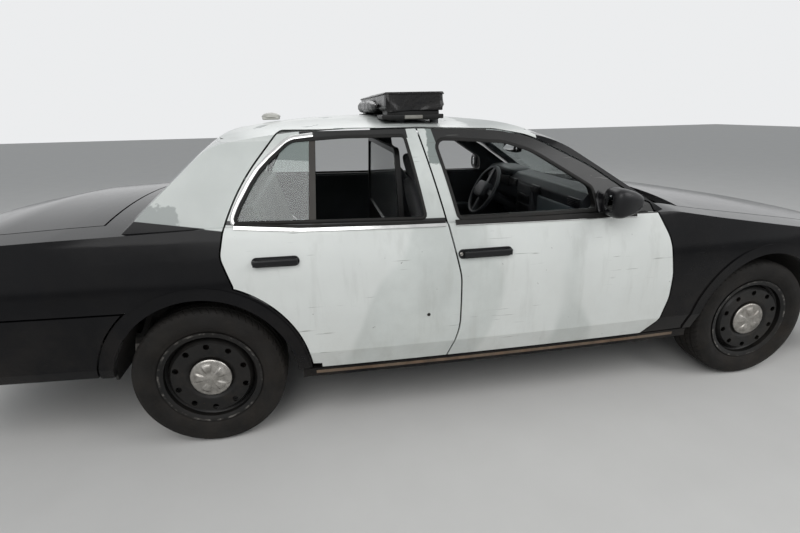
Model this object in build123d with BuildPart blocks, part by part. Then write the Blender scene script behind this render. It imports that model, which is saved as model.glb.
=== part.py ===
from build123d import *
from math import asin, cos, degrees, hypot, radians, sin, sqrt, tan
import os

# Full-size four-door patrol saloon, in millimetres.
# +X forward, +Y to the car's left, +Z up, origin on the ground in the middle of the car.

# Overall sizes
NOSE_X = 2693.5
TAIL_X = -2693.5
HALF_WIDTH = 992
ROOF_TOP = 1487
DROP = 1300

# Wheels and axles
FRONT_AXLE_X = 1626.5
REAR_AXLE_X = -1284.5
TYRE_RADIUS = 345
FRONT_TRACK = 1610
REAR_TRACK = 1660
WHEEL_Z = TYRE_RADIUS
ARCH_RADIUS_FRONT = 405
ARCH_RADIUS_REAR = 405
FLARE_WIDTH = 52
FLARE_RISE = 7

# Body shape
SIDE_PLAN_RADIUS = 30000
GLASS_PLAN_RADIUS = 20000
GLASS_CENTRE_X = -150
BODY_CROWN_RADIUS = 8050
CROWN_TOP = 1060
ROOF_CROWN_RADIUS = 4487
FRONT_PLAN_RADIUS = 1750
REAR_PLAN_RADIUS = 2450
FRONT_CORNER_RADIUS = 300
REAR_CORNER_RADIUS = 280
CORNER_REACH = 908

# Pins of the bonnet and the boot lid
HOOD_PIVOT = (1165, 600, 966)
LID_PIVOT = (-1800, 695, 1022)

# Walls and gaps
PANEL_GAP = 8
PANEL_WALL = 34
DOOR_WALL = 105
DOOR_SKIN = 9
ROOF_WALL = 48
GLASS_INSET = 2
GLASS_WALL = 6
FRAME_LIP = GLASS_INSET + GLASS_WALL
PILLAR_DEPTH = 90
PILLAR_WALL = 95
ROCKER_DEPTH = 190
ROCKER_TOP = 345
WHEELHOUSE_RADIUS = 424
COWL_DROP = 45
SEAT_GAP = 0.3

# Heights of the lower edges
ROCKER_Z = 300
DOOR_BOTTOM_Z = 352
FRONT_VALANCE_Z = 240
REAR_VALANCE_Z = 398
FRONT_BUMPER_TOP = 616
REAR_BUMPER_TOP = 702

# Door hinges
FRONT_HINGE = (936, 956)
REAR_HINGE = (-165, 972)
HINGE_HEIGHTS = (530, 740)
HINGE_RUN = 14
HINGE_RADIUS = 6
PANEL_ARCH_RADIUS = 467

# Side section of the lower body: half width, height, corner radius
SIDE_SECTION = [
    (905, -100, 0),
    (948, 345, 60),
    (986, 447, 25),
    (994.5, 660, 1500),
    (979, 855, 600),
    (925, 1014, 200),
    (880, 1080, 0),
    (880, DROP, 0),
    (-1400, DROP, 0),
    (-1400, -100, 0),
]

# Top line of the lower body in the middle of the car: x, height, corner radius
TOP_LINE = [
    (-2800, 915, 0),
    (-2500, 1000, 250),
    (-2195, 1053, 1200),
    (-1847, 1068, 1500),
    (-1560, 1077, 1500),
    (-1100, 1092, 1500),
    (-700, 1073, 1500),
    (595, 1058, 2500),
    (1022, 1057, 600),
    (1300, 1009, 1500),
    (1929, 910, 3000),
    (2400, 828, 2000),
    (2800, 737, 0),
    (2800, -100, 0),
    (-2800, -100, 0),
]

# Lower edge of the body seen from the side: x, height, corner radius
BOTTOM_LINE = [
    (-2800, REAR_VALANCE_Z, 0),
    (-1680, REAR_VALANCE_Z, 0),
    (-900, ROCKER_Z, 0),
    (1240, ROCKER_Z, 0),
    (2010, FRONT_VALANCE_Z, 0),
    (2800, FRONT_VALANCE_Z, 0),
    (2800, 1600, 0),
    (-2800, 1600, 0),
]

# Plan of the bonnet and boot lid seams on the left: x, distance from the middle
HOOD_SEAM = [(1150, 770), (2460, 690), (2800, 670)]
HOOD_REAR_X = 1255
LID_SEAM = [(-1690, 696), (-2400, 690), (-2800, 676)]
LID_FRONT_X = -1715
LID_FRONT_GAP = 11

# Profiles of the two ends: distance ahead of the end of the car, height, corner radius.
# The lower rows are turned round the corners, the upper ones keep the plan and step back.
FRONT_LOWER = [(-75, -100, 0), (-32, 280, 50), (0, 400, 60), (0, 545, 0)]
FRONT_UPPER = [(0, 545), (-8, 572), (-24, 596), (-42, 608), (-104, 622), (-122, 820), (-160, DROP)]
REAR_LOWER = [(-75, -100, 0), (-14, 400, 60), (0, 500, 80), (0, 640, 0)]
REAR_UPPER = [
    (0, 640),
    (-7, 668),
    (-20, 690),
    (-34, 700),
    (-78, 714),
    (-98, 850),
    (-152, 1010),
    (-215, DROP),
]

# Side section of the glasshouse: half width, height, corner radius
GLASS_SECTION = [
    (950, 880, 0),
    (838, 1215, 1200),
    (600, 1533.5, 0),
    (-1000, 1533.5, 0),
    (-1000, 880, 0),
]

# Outline of the glasshouse in the middle of the car: x, height, corner radius
GLASS_LINE = [
    (1490.6, 800, 0),
    (435, 1429, 560),
    (-83, ROOF_TOP, 6600),
    (-783, ROOF_TOP, 4100),
    (-1200, 1427, 250),
    (-1944.6, 800, 0),
]

# Line between the two doors, from the roof down: x, height, corner radius
DOOR_SPLIT = [
    (-250, 1425, 0),
    (-150, 1000, 150),
    (-101, 770, 250),
    (-105, 520, 300),
    (-158, DOOR_BOTTOM_Z, 0),
]
# Front door beyond the split, from its lower rear corner round to the roof
FRONT_DOOR_EDGE = [
    (914, DOOR_BOTTOM_Z, 14),
    (985, 432, 70),
    (1019, 560, 180),
    (1020, 690, 250),
    (992, 870, 300),
    (905, 1043, 25),
    (846, 1063, 60),
    (593, 1232, 900),
    (310, 1376, 400),
    (150, 1408, 300),
]
# Rear door beyond the split, from its lower front corner round to the roof
REAR_DOOR_EDGE = [
    (-1120, DOOR_BOTTOM_Z, 0),
    (-1120, 800, 0),
    (-1163, 925, 90),
    (-1140, 1040, 300),
    (-1061, 1216, 900),
    (-890, 1424, 40),
]
FRONT_WINDOW = [
    (-92, 1032, 20),
    (-170, 1374, 35),
    (-40, 1368, 600),
    (170, 1352, 200),
    (300, 1312, 400),
    (590, 1132, 40),
    (612, 1030, 20),
]
REAR_WINDOW = [
    (-246, 1034, 20),
    (-309, 1400, 25),
    (-600, 1402, 900),
    (-840, 1390, 90),
    (-983, 1273, 400),
    (-1079, 1116, 300),
    (-1104, 1052, 20),
]
DIVISION_BAR = [
    (-783, 1000, 0),
    (-751, 1000, 0),
    (-727, 1400, 0),
    (-754, 1400, 0),
]

# Pull handles: rear end, front end, middle height, outer face
HANDLES = {"front": (-90, 139, 877, 995), "rear": (-1029, -838, 896, 978)}
HANDLE_THICK = 12
HANDLE_HEIGHT = 26
HANDLE_END = 22

# Edges of the fixed glass and tops of the pillars
WINDSHIELD_EDGE = [(-812, 940, 60), (812, 940, 60), (604, 1402, 70), (-604, 1402, 70)]
BACKLIGHT_EDGE = [(-760, 960, 50), (760, 960, 50), (590, 1398, 60), (-590, 1398, 60)]
A_PILLAR_TOP = (345, 560, 1392)
C_PILLAR_TOP = (-875, 1388)

# Plans and heights of the lamps, and the edges of the two lids
HEADLAMP_PLAN = [
    (2440, 352, 0),
    (2800, 352, 0),
    (2800, 1000, 0),
    (2250, 1000, 0),
    (2290, 790, 0),
    (2360, 640, 0),
]
TAIL_LAMP_PLAN = [
    (-2430, 564, 0),
    (-2800, 564, 0),
    (-2800, 1000, 0),
    (-2300, 1000, 0),
    (-2330, 800, 0),
    (-2390, 740, 0),
]
HEADLAMP_Z = (FRONT_BUMPER_TOP + SEAT_GAP, 762)
TAIL_LAMP_Z = (752, 905)
LID_STEP_Z = 920
HOOD_NOSE_Z = 772
GRILLE_HALF = 344

# Front fender and quarter panel seen from the side
COWL_HALF = 758
FENDER_ROWS = [
    (780, ROCKER_TOP + PANEL_GAP, 0),
    (FRONT_AXLE_X, ROCKER_TOP + PANEL_GAP, 0),
    (FRONT_AXLE_X, FRONT_BUMPER_TOP + PANEL_GAP, 0),
    (2800, FRONT_BUMPER_TOP + PANEL_GAP, 0),
    (2800, 1200, 0),
    (780, 1200, 0),
]
QUARTER_ROWS = [
    (-2800, REAR_BUMPER_TOP + PANEL_GAP, 0),
    (REAR_AXLE_X, REAR_BUMPER_TOP + PANEL_GAP, 0),
    (REAR_AXLE_X, ROCKER_TOP + PANEL_GAP, 0),
    (-700, ROCKER_TOP + PANEL_GAP, 0),
    (-700, 1300, 0),
    (-2800, 1300, 0),
]

# Air intake in the front bumper
INTAKE_Z = (318, 384)
INTAKE_HALF = 430

# Grille cells: across, up, bar thickness, border
GRILLE_CELLS = (14, 3)
GRILLE_BAR = 7
GRILLE_BORDER = 13

# Walls of the cowl and the floor, and the floor's line seen from the side
COWL_WALL = 12
FLOOR_WALL = 24
FLOOR_LINE = [
    (1085, 1010),
    (1085, 620),
    (985, 400),
    (850, 335),
    (-560, 335),
    (-650, 445),
    (-960, 470),
    (-1010, 650),
    (-1560, 650),
    (-1640, 470),
    (-2440, 470),
    (-2500, 560),
    (-2500, 690),
]
FLOOR_UNDER = 335 - FLOOR_WALL / 2
WHEELHOUSE_WALL = 12
REAR_HOUSE_Y = 655
FRONT_HOUSE_Y = 500
FIREWALL_JOINT = 1000
BOOT_FLOOR_JOINT = -850
APRON_ROWS = [(1090, 430, 0), (1090, 900, 0), (1900, 826, 0), (2300, 762, 0), (2300, 430, 0)]

# Separate frame: its rails in plan and seen from the side
RAIL_PLAN = [
    (2450, 360, 0),
    (2450, 440, 0),
    (1240, 440, 0),
    (900, 740, 0),
    (-780, 740, 0),
    (-1000, 560, 0),
    (-2450, 560, 0),
    (-2450, 480, 0),
    (-960, 480, 0),
    (-750, 650, 0),
    (860, 650, 0),
    (1180, 360, 0),
]
RAIL_SIDE = [
    (2450, 430, 0),
    (1240, 430, 0),
    (850, 290, 0),
    (-780, 290, 0),
    (-1080, 550, 0),
    (-1480, 550, 0),
    (-1640, 450, 0),
    (-2450, 450, 0),
    (-2450, 380, 0),
    (-1700, 380, 0),
    (-1500, 470, 0),
    (-1100, 470, 0),
    (-790, 190, 0),
    (880, 190, 0),
    (1250, 330, 0),
    (2450, 330, 0),
]

# Cross members and towers: low corner, high corner (left half)
CROSS_MEMBERS = [
    ((1560, -1, 215), (1700, 470, 335)),
    ((2230, -1, 330), (2320, 400, 400)),
    ((300, -1, 195), (380, 680, 262)),
    ((-1520, -1, 480), (-1460, 500, 540)),
    ((-2450, -1, 390), (-2400, 500, 440)),
    ((1560, 380, 420), (1690, 440, 500)),
    ((2100, 420, 380), (2240, 500, 429.7)),
]

# Body mounts: x, y, foot, head
BODY_MOUNTS = [
    (700, 695, 285, FLOOR_UNDER - SEAT_GAP),
    (-450, 695, 285, FLOOR_UNDER - SEAT_GAP),
    (-2300, 520, 445, 458 - SEAT_GAP),
    (-1750, 520, 445, 458 - SEAT_GAP),
]

# Exhaust run and hub faces
EXHAUST_RUN = [
    (1249.7, -90, 400),
    (1060, -90, 310),
    (-820, -90, 300),
    (-1080, -250, 470),
    (-1480, -250, 440),
    (-1760, -320, 310),
]
REAR_HUB_FACE = REAR_TRACK / 2 + 73 - SEAT_GAP

# Front suspension arms and steered knuckles
KINGPIN = (FRONT_AXLE_X, 790)
ARM_PLAN = [(1530, 470.3, 0), (1723, 470.3, 0), (1642, 790, 0), (1611, 790, 0)]
UPPER_ARM_PLAN = [(1580, 440.3, 0), (1673, 440.3, 0), (1640, 790, 0), (1613, 790, 0)]
FRONT_HUB_FACE = FRONT_TRACK / 2 + 73 - SEAT_GAP

# Wheels: rows of offset outwards from the wheel's middle, radius
TYRE_PROFILE = [
    (86, 216.3, 0),
    (93, 237, 0),
    (112, 262, 0),
    (117.5, 286, 0),
    (114, 310, 0),
    (103, 332, 0),
    (84, 343, 0),
    (0, TYRE_RADIUS, 0),
    (-84, 343, 0),
    (-103, 332, 0),
    (-114, 310, 0),
    (-117.5, 286, 0),
    (-112, 262, 0),
    (-93, 237, 0),
    (-86, 216.3, 0),
    (-70, 217, 0),
    (-96, 270, 0),
    (-96, 318, 0),
    (96, 318, 0),
    (96, 270, 0),
    (70, 217, 0),
]
RIM_PROFILE = [
    (100, 233, 0),
    (94, 233, 0),
    (88, 216, 0),
    (66, 214, 0),
    (52, 196, 0),
    (-14, 196, 0),
    (-40, 213, 0),
    (-88, 216, 0),
    (-94, 233, 0),
    (-100, 233, 0),
    (-100, 226, 0),
    (-93, 208, 0),
    (-43, 205, 0),
    (-18, 188, 0),
    (56, 188, 0),
    (70, 206, 0),
    (93, 208, 0),
    (100, 226, 0),
]
DISC_PROFILE = [
    (73, 0, 0),
    (80, 0, 0),
    (80, 96, 0),
    (92, 118, 0),
    (92, 176, 0),
    (70, 190, 0),
    (50, 192, 0),
    (44, 190, 0),
    (60, 180, 0),
    (84, 170, 0),
    (84, 122, 0),
    (73, 100, 0),
]
CAP_PROFILE = [(79, 0, 0), (79, 92, 0), (92, 90, 0), (96, 78, 0), (100, 40, 0), (101, 0, 0)]
HAND_HOLES = 10
HAND_HOLE_CIRCLE = 158
HAND_HOLE_RADIUS = 14

# Cabin: steering wheel, then side views of dashboard, seats and partition
STEERING_CENTRE = (492, 400, 928)
STEERING_AXIS = (0.88, 0, -0.477)
STEERING_RADIUS = 185
DASH_ROWS = [
    (1072.7, 700, 0),
    (1072.7, 955, 0),
    (900, 1050, 60),
    (760, 1092, 60),
    (665, 1082, 30),
    (630, 1035, 20),
    (655, 900, 40),
    (760, 800, 40),
    (790, 700, 0),
]
CUSHION_ROWS = [
    (470, 560, 0),
    (480, 640, 40),
    (400, 672, 60),
    (0, 630, 0),
    (20.2, 560, 0),
]
SEAT_BACK_ROWS = [
    (19.8, 560.3, 0),
    (-150.3, 1150, 30),
    (-250, 1150, 30),
    (-170, 560.3, 60),
]
BENCH_ROWS = [
    (-655, 457.8, 0),
    (-530, 475, 0),
    (-505, 620, 60),
    (-900, 600, 80),
    (-1045, 1100, 40),
    (-1150, 1100, 30),
    (-1060, 680, 0),
    (-940, 640, 0),
    (-935, 480.4, 0),
]
PARTITION_ROWS = [
    (-690, 360, 0),
    (690, 360, 0),
    (700, 1060, 0),
    (600, 1330, 60),
    (-600, 1330, 60),
    (-700, 1060, 0),
]
SCREEN_ROWS = [
    (-668, 860, 0),
    (668, 860, 0),
    (668, 1055, 0),
    (580, 1304, 40),
    (-580, 1304, 40),
    (-668, 1055, 0),
]

# Wipers and mirrors
WIPER_PIVOTS = (440, -200)
WIPER_BLADE = 520
WIPER_POST_X = 1188
MIRROR_ROWS = [
    (590, 1012, 30),
    (600, 1150, 30),
    (690, 1156, 40),
    (775, 1110, 40),
    (780, 1050, 40),
    (700, 1008, 40),
]


def turns_left(rows):
    """Whether an outline runs anticlockwise."""
    crosses = (rows[i - 1][0] * rows[i][1] - rows[i][0] * rows[i - 1][1] for i in range(len(rows)))
    return sum(crosses) > 0


def face_of(rows, shift=0):
    """Flat face from rows of across, height, corner radius, moved across by shift."""
    ordered = rows if turns_left(rows) else rows[::-1]
    with BuildSketch(Plane.XY) as sketch:
        with BuildLine():
            FilletPolyline(
                *[(across + shift, height) for across, height, _ in ordered],
                radius=[radius for _, _, radius in ordered],
                close=True,
            )
        make_face()
    return sketch.sketch


def grown(rows, grow):
    """The rows of an outline moved outwards all round by grow, or inwards where it is negative."""
    if not grow:
        return rows
    count = len(rows)
    leftwards = turns_left(rows)
    side = grow if leftwards else -grow
    moved = []
    for i, (across, height, corner) in enumerate(rows):
        before = rows[i - 1]
        after = rows[(i + 1) % count]
        ux, uz = across - before[0], height - before[1]
        vx, vz = after[0] - across, after[1] - height
        u, v = hypot(ux, uz), hypot(vx, vz)
        ux, uz, vx, vz = ux / u, uz / u, vx / v, vz / v
        turn = ux * vz - uz * vx
        share = side / (1 + ux * vx + uz * vz)
        outwards = 1 if (turn > 0) == leftwards else -1
        rounded = max(corner + outwards * grow, 0) if corner else 0
        moved.append((across + share * (uz + vz), height - share * (ux + vx), rounded))
    return moved


def through(rows, grow=0, near=-1200, far=1200):
    """Solid of a side view outline, from y = near to y = far."""
    with BuildPart() as solid:
        extrude(Plane.XZ.offset(-near) * face_of(grown(rows, grow)), amount=near - far)
    return solid.part


def slab(rows, inset, plan_radius, centre_x):
    """Side section swept round a far upright axis, so that the flank bows in plan."""
    reach = degrees(asin(3000 / plan_radius))
    away = plan_radius - HALF_WIDTH
    turn = radians(reach)
    start = Plane(
        origin=(centre_x, -away, 0),
        x_dir=(-sin(turn), cos(turn), 0),
        z_dir=(cos(turn), sin(turn), 0),
    )
    profile = start * Pos(away, 0, 0) * face_of(rows, -inset)
    with BuildPart() as solid:
        revolve(profile, axis=Axis((centre_x, -away, 0), (0, 0, -1)), revolution_arc=2 * reach)
    return solid.part


def flanks(rows, inset, plan_radius, centre_x=0):
    """Everything between the two flanks, inset by a wall."""
    one = slab(rows, inset, plan_radius, centre_x)
    return one & one.mirror(Plane.XZ)


def crown(rows, top, radius, lower=0):
    """Side view outline turned about a lengthwise axis far below, which crowns its top."""
    axis_z = top - radius
    reach = 15
    start = Plane(
        origin=(0, 0, axis_z),
        x_dir=(1, 0, 0),
        z_dir=(0, -cos(radians(reach)), sin(radians(reach))),
    )
    moved = [(across, height - axis_z - lower, corner) for across, height, corner in rows]
    profile = start * face_of(moved)
    with BuildPart() as solid:
        revolve(profile, axis=Axis((0, 0, axis_z), (1, 0, 0)), revolution_arc=2 * reach)
    return solid.part


def end_block(lower, upper, tip, plan_radius, corner_radius, inset=0):
    """Body of the car up to one end, bowed in plan and round at its corners."""
    centre = abs(tip) - plan_radius
    corner_y = CORNER_REACH - corner_radius
    corner_x = centre + sqrt((plan_radius - corner_radius) ** 2 - corner_y**2)
    bow = degrees(asin(corner_y / (plan_radius - corner_radius)))
    foot = lower[0][1]
    head = lower[-1][1]
    side = HALF_WIDTH + 20

    def profile(radius, inner):
        outer = [(radius + away - inset, height, corner) for away, height, corner in lower]
        return face_of([(inner, foot, 0)] + outer + [(inner, head, 0)])

    def around(radius, turn, about_x, about_y):
        return (about_x + radius * cos(turn), about_y + radius * sin(turn))

    with BuildPart() as solid:
        start = Plane(
            origin=(centre, 0, 0),
            x_dir=(cos(radians(bow)), -sin(radians(bow)), 0),
            z_dir=(-sin(radians(bow)), -cos(radians(bow)), 0),
        )
        middle = start * profile(plan_radius, plan_radius - 520)
        revolve(middle, axis=Axis((centre, 0, 0), (0, 0, 1)), revolution_arc=2 * bow)
        for hand in (-1, 1):
            heading = radians(bow * hand)
            edge = Plane(
                origin=(corner_x, hand * corner_y, 0),
                x_dir=(cos(heading), sin(heading), 0),
                z_dir=(sin(heading), -cos(heading), 0),
            )
            sweep_axis = Axis((corner_x, hand * corner_y, 0), (0, 0, hand))
            revolve(edge * profile(corner_radius, 0), axis=sweep_axis, revolution_arc=115)
        with BuildSketch(Plane.XY.offset(foot)):
            with Locations(((corner_x - 3000) / 2, 0)):
                Rectangle(corner_x + 3000, 2 * side)
        extrude(amount=head - foot)
        first = around(plan_radius - inset, -radians(bow), centre, 0)
        last = around(plan_radius - inset, radians(bow), centre, 0)
        small = corner_radius - inset
        half_turn = radians((bow + 90) / 2)
        for (near, low), (far, high) in zip(upper, upper[1:]):
            with BuildSketch(Plane.XY.offset(low)) as plan:
                with BuildLine():
                    ThreePointArc(first, (centre + plan_radius - inset, 0), last)
                    ThreePointArc(
                        last,
                        around(small, half_turn, corner_x, corner_y),
                        (corner_x, corner_y + small),
                    )
                    Polyline(
                        (corner_x, corner_y + small),
                        (corner_x, side),
                        (-3000, side),
                        (-3000, -side),
                        (corner_x, -side),
                        (corner_x, -corner_y - small),
                    )
                    ThreePointArc(
                        (corner_x, -corner_y - small),
                        around(small, -half_turn, corner_x, -corner_y),
                        first,
                    )
                make_face()
            shifted = Pos(near, 0, 0) * plan.sketch
            extrude(shifted, amount=hypot(far - near, high - low), dir=(far - near, 0, high - low))
    if tip < 0:
        return solid.part.mirror(Plane.YZ)
    return solid.part


def hull(inset):
    """Lower body without its floor, inset by a wall."""
    block = flanks(SIDE_SECTION, inset, SIDE_PLAN_RADIUS)
    block = block & crown(TOP_LINE, CROWN_TOP, BODY_CROWN_RADIUS, inset)
    front = (FRONT_LOWER, FRONT_UPPER, NOSE_X, FRONT_PLAN_RADIUS, FRONT_CORNER_RADIUS)
    rear = (REAR_LOWER, REAR_UPPER, TAIL_X, REAR_PLAN_RADIUS, REAR_CORNER_RADIUS)
    return block & end_block(*front, inset) & end_block(*rear, inset)


def glasshouse(inset):
    """Roof and window surfaces as one block, inset by a wall."""
    block = flanks(GLASS_SECTION, inset, GLASS_PLAN_RADIUS, GLASS_CENTRE_X)
    return block & crown(grown(GLASS_LINE, -inset), ROOF_TOP, ROOF_CROWN_RADIUS)


def block(low, high, mode=Mode.ADD):
    """Box between two corners, in the part that is being built."""
    middle = tuple((a + b) / 2 for a, b in zip(low, high))
    with Locations(middle):
        Box(*[b - a for a, b in zip(low, high)], mode=mode)


def solid_block(low, high):
    """Box between two corners, by itself."""
    with BuildPart() as solid:
        block(low, high)
    return solid.part


def rod(start, end, radius, mode=Mode.ADD):
    """Round bar between two points, in the part that is being built."""
    run = Vector(*end) - Vector(*start)
    with Locations(Plane(origin=Vector(*start) + run / 2, z_dir=run).location):
        Cylinder(radius, run.length, mode=mode)


def arch(axle_x, radius, near=500, far=1100):
    """Cylinder across the left wheel opening."""
    with BuildPart() as solid:
        with BuildSketch(Plane.XZ.offset(-near)):
            with Locations((axle_x, WHEEL_Z)):
                Circle(radius)
        extrude(amount=near - far)
    return solid.part


def seam_plan(seam, edge_x, grow, edge_grow, low, high):
    """Upright prism inside a seam that is the same on both sides, with a bowed near edge."""
    back = edge_grow if edge_x > 0 else -edge_grow
    first = (seam[0][0] - back, seam[0][1] + grow)
    rest = [(x, y + grow) for x, y in seam[1:]]
    with BuildPart() as solid:
        with BuildSketch(Plane.XY.offset(low)):
            with BuildLine():
                Polyline(first, *rest)
                Line(rest[-1], (rest[-1][0], -rest[-1][1]))
                Polyline((first[0], -first[1]), *[(x, -y) for x, y in rest])
                ThreePointArc(first, (edge_x - back, 0), (first[0], -first[1]))
            make_face()
        extrude(amount=high - low)
    return solid.part


def finish(piece, label):
    """Name a finished piece and write it."""
    piece.part.label = label
    export_step(piece.part, f"parts/{label}.step")


os.makedirs("parts", exist_ok=True)

# Surfaces that the panels share
hull_outer = hull(0) & through(BOTTOM_LINE)
hull_inner = hull(PANEL_WALL)
body_shell = hull_outer - hull_inner
glass_outer = glasshouse(0)
glass_shell = glass_outer - glasshouse(ROOF_WALL)
glass_lip = glass_outer - glasshouse(FRAME_LIP)
pane_shell = glasshouse(GLASS_INSET) - glasshouse(FRAME_LIP)
left_half = solid_block((-2800, 0, -100), (2800, 1100, 1600))
left_shell = body_shell & left_half
left_glass = glass_shell & left_half
wheel_front = arch(FRONT_AXLE_X, ARCH_RADIUS_FRONT)
wheel_rear = arch(REAR_AXLE_X, ARCH_RADIUS_REAR)
half_gap = PANEL_GAP / 2
front_door_rows = [(x + half_gap, z, r) for x, z, r in DOOR_SPLIT] + FRONT_DOOR_EDGE
rear_door_rows = [(x - half_gap, z, r) for x, z, r in DOOR_SPLIT] + REAR_DOOR_EDGE


def flank_block(inset):
    """Everything inboard of the flanks at a depth."""
    return flanks(SIDE_SECTION, inset, SIDE_PLAN_RADIUS)


def hinge_leaf(hinge, inner_y):
    """Two body leaves of each hinge of a left door, reaching out from the pillar to the pin."""
    for height in HINGE_HEIGHTS:
        for lift in (-26, 18):
            rod((*hinge, height + lift), (*hinge, height + lift + 8), HINGE_RADIUS)
            low = (hinge[0] - HINGE_RADIUS, inner_y, height + lift)
            high = (hinge[0] + HINGE_RADIUS, hinge[1], height + lift + 8)
            block(low, high)
            block(low, (hinge[0] + 30, inner_y + 18, height + lift + 8))


def door(rows, window, bar, hinge, rear_x, arch_radius):
    """Left door: a thin flange out to its gaps, a deep panel inside it and a window frame."""
    front_x = hinge[0] - HINGE_RUN
    inner = through(rows, -40, 400) & solid_block((rear_x, 400, 408), (front_x, 1100, 1300))
    with BuildPart() as solid:
        add(door_skin_shell & through(rows, 0, 400))
        add(door_deep_shell & inner)
        add(left_glass & through(rows, -24, 640))
        add(left_lip & through(rows, 0, 640))
        add(through(window, 0, 400), mode=Mode.SUBTRACT)
        if bar:
            add(left_glass & through(bar, 0, 640))
        if arch_radius:
            add(arch(REAR_AXLE_X, arch_radius, 400), mode=Mode.SUBTRACT)
            add(arch(REAR_AXLE_X, arch_radius + 40, 400, 950), mode=Mode.SUBTRACT)
        for height in HINGE_HEIGHTS:
            for lift in (-28, 17.6):
                pocket = ((*hinge, height + lift), (*hinge, height + lift + 10.4))
                rod(*pocket, HINGE_RADIUS + 2, Mode.SUBTRACT)
            rod((*hinge, height - 17.5), (*hinge, height + 17.5), HINGE_RADIUS)
            low = (front_x - 4, hinge[1] - HINGE_RADIUS, height - 17.5)
            block(low, (hinge[0], hinge[1] + HINGE_RADIUS, height + 17.5))
    return solid.part


# Doors
door_zone = hull_outer & solid_block((-1300, 400, 300), (1150, 1100, 1200))
door_skin_shell = door_zone - flank_block(DOOR_SKIN)
door_deep_shell = door_zone - flank_block(DOOR_WALL)
left_lip = glass_lip & left_half
door_arch = PANEL_ARCH_RADIUS + PANEL_GAP
front_door = door(front_door_rows, FRONT_WINDOW, None, FRONT_HINGE, -58, 0)
rear_door = door(rear_door_rows, REAR_WINDOW, DIVISION_BAR, REAR_HINGE, -1300, door_arch)
for label, made in (("door_front", front_door), ("door_rear", rear_door)):
    with BuildPart() as left_door:
        add(made)
    finish(left_door, label + "_left")
    with BuildPart() as right_door:
        add(made.mirror(Plane.XZ))
    finish(right_door, label + "_right")

# Pull handles, each a bar on two feet that stand on the door's skin
handle_seat = flank_block(-SEAT_GAP)
for end, (back, ahead, middle, outer) in HANDLES.items():
    bottom, top = middle - HANDLE_HEIGHT / 2, middle + HANDLE_HEIGHT / 2
    with BuildPart() as left_handle:
        block((back, outer - HANDLE_THICK, bottom), (ahead, outer, top))
        for x in (back, ahead - HANDLE_END):
            block((x, outer - 50, bottom), (x + HANDLE_END, outer - HANDLE_THICK, top))
        fillet(left_handle.edges().group_by(Axis.Y)[-1], radius=5)
        add(handle_seat, mode=Mode.SUBTRACT)
    finish(left_handle, f"door_handle_{end}_left")
    with BuildPart() as right_handle:
        add(left_handle.part.mirror(Plane.XZ))
    finish(right_handle, f"door_handle_{end}_right")

# Glasshouse: one frame of roof and pillars, parted where the real panels meet


def lengthwise(rows, near_x, far_x):
    """Prism along the car of an outline seen from the front."""
    with BuildPart() as solid:
        extrude(Plane.YZ.offset(near_x) * face_of(rows), amount=far_x - near_x)
    return solid.part


windshield_hole = lengthwise(WINDSHIELD_EDGE, 200, 1400)
backlight_hole = lengthwise(BACKLIGHT_EDGE, -1900, -950)
front_opening = through(front_door_rows, PANEL_GAP, 400)
rear_opening = through(rear_door_rows, PANEL_GAP, 400) - arch(REAR_AXLE_X, PANEL_ARCH_RADIUS, 300)
left_frame = left_glass - front_opening - rear_opening - windshield_hole - backlight_hole
a_pillar_zone = solid_block((A_PILLAR_TOP[0], A_PILLAR_TOP[1], 930), (1080, 1100, A_PILLAR_TOP[2]))
c_pillar_zone = solid_block((-1700, 400, 930), (C_PILLAR_TOP[0], 1100, C_PILLAR_TOP[1]))
left_roof = (left_frame - a_pillar_zone - c_pillar_zone) & solid_block(
    (-1300, 0, 1200), (600, 900, 1600)
)
with BuildPart() as roof_panel:
    add(left_roof)
    mirror(about=Plane.XZ)
finish(roof_panel, "roof_panel")

with BuildPart() as windshield:
    add(pane_shell & windshield_hole)
    add(crown(TOP_LINE, CROWN_TOP, BODY_CROWN_RADIUS, COWL_DROP - SEAT_GAP), mode=Mode.SUBTRACT)
finish(windshield, "windshield")

with BuildPart() as rear_window:
    add(pane_shell & backlight_hole)
    add(hull_outer, mode=Mode.SUBTRACT)
finish(rear_window, "rear_window")

with BuildPart() as left_pane:
    add(pane_shell & through(REAR_WINDOW, -SEAT_GAP, 400))
    add(through(DIVISION_BAR, SEAT_GAP, 400), mode=Mode.SUBTRACT)
    add(solid_block((-752, 400, 900), (0, 1100, 1500)), mode=Mode.SUBTRACT)
finish(left_pane, "quarter_pane_left")
with BuildPart() as right_pane:
    add(left_pane.part.mirror(Plane.XZ))
finish(right_pane, "quarter_pane_right")

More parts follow.
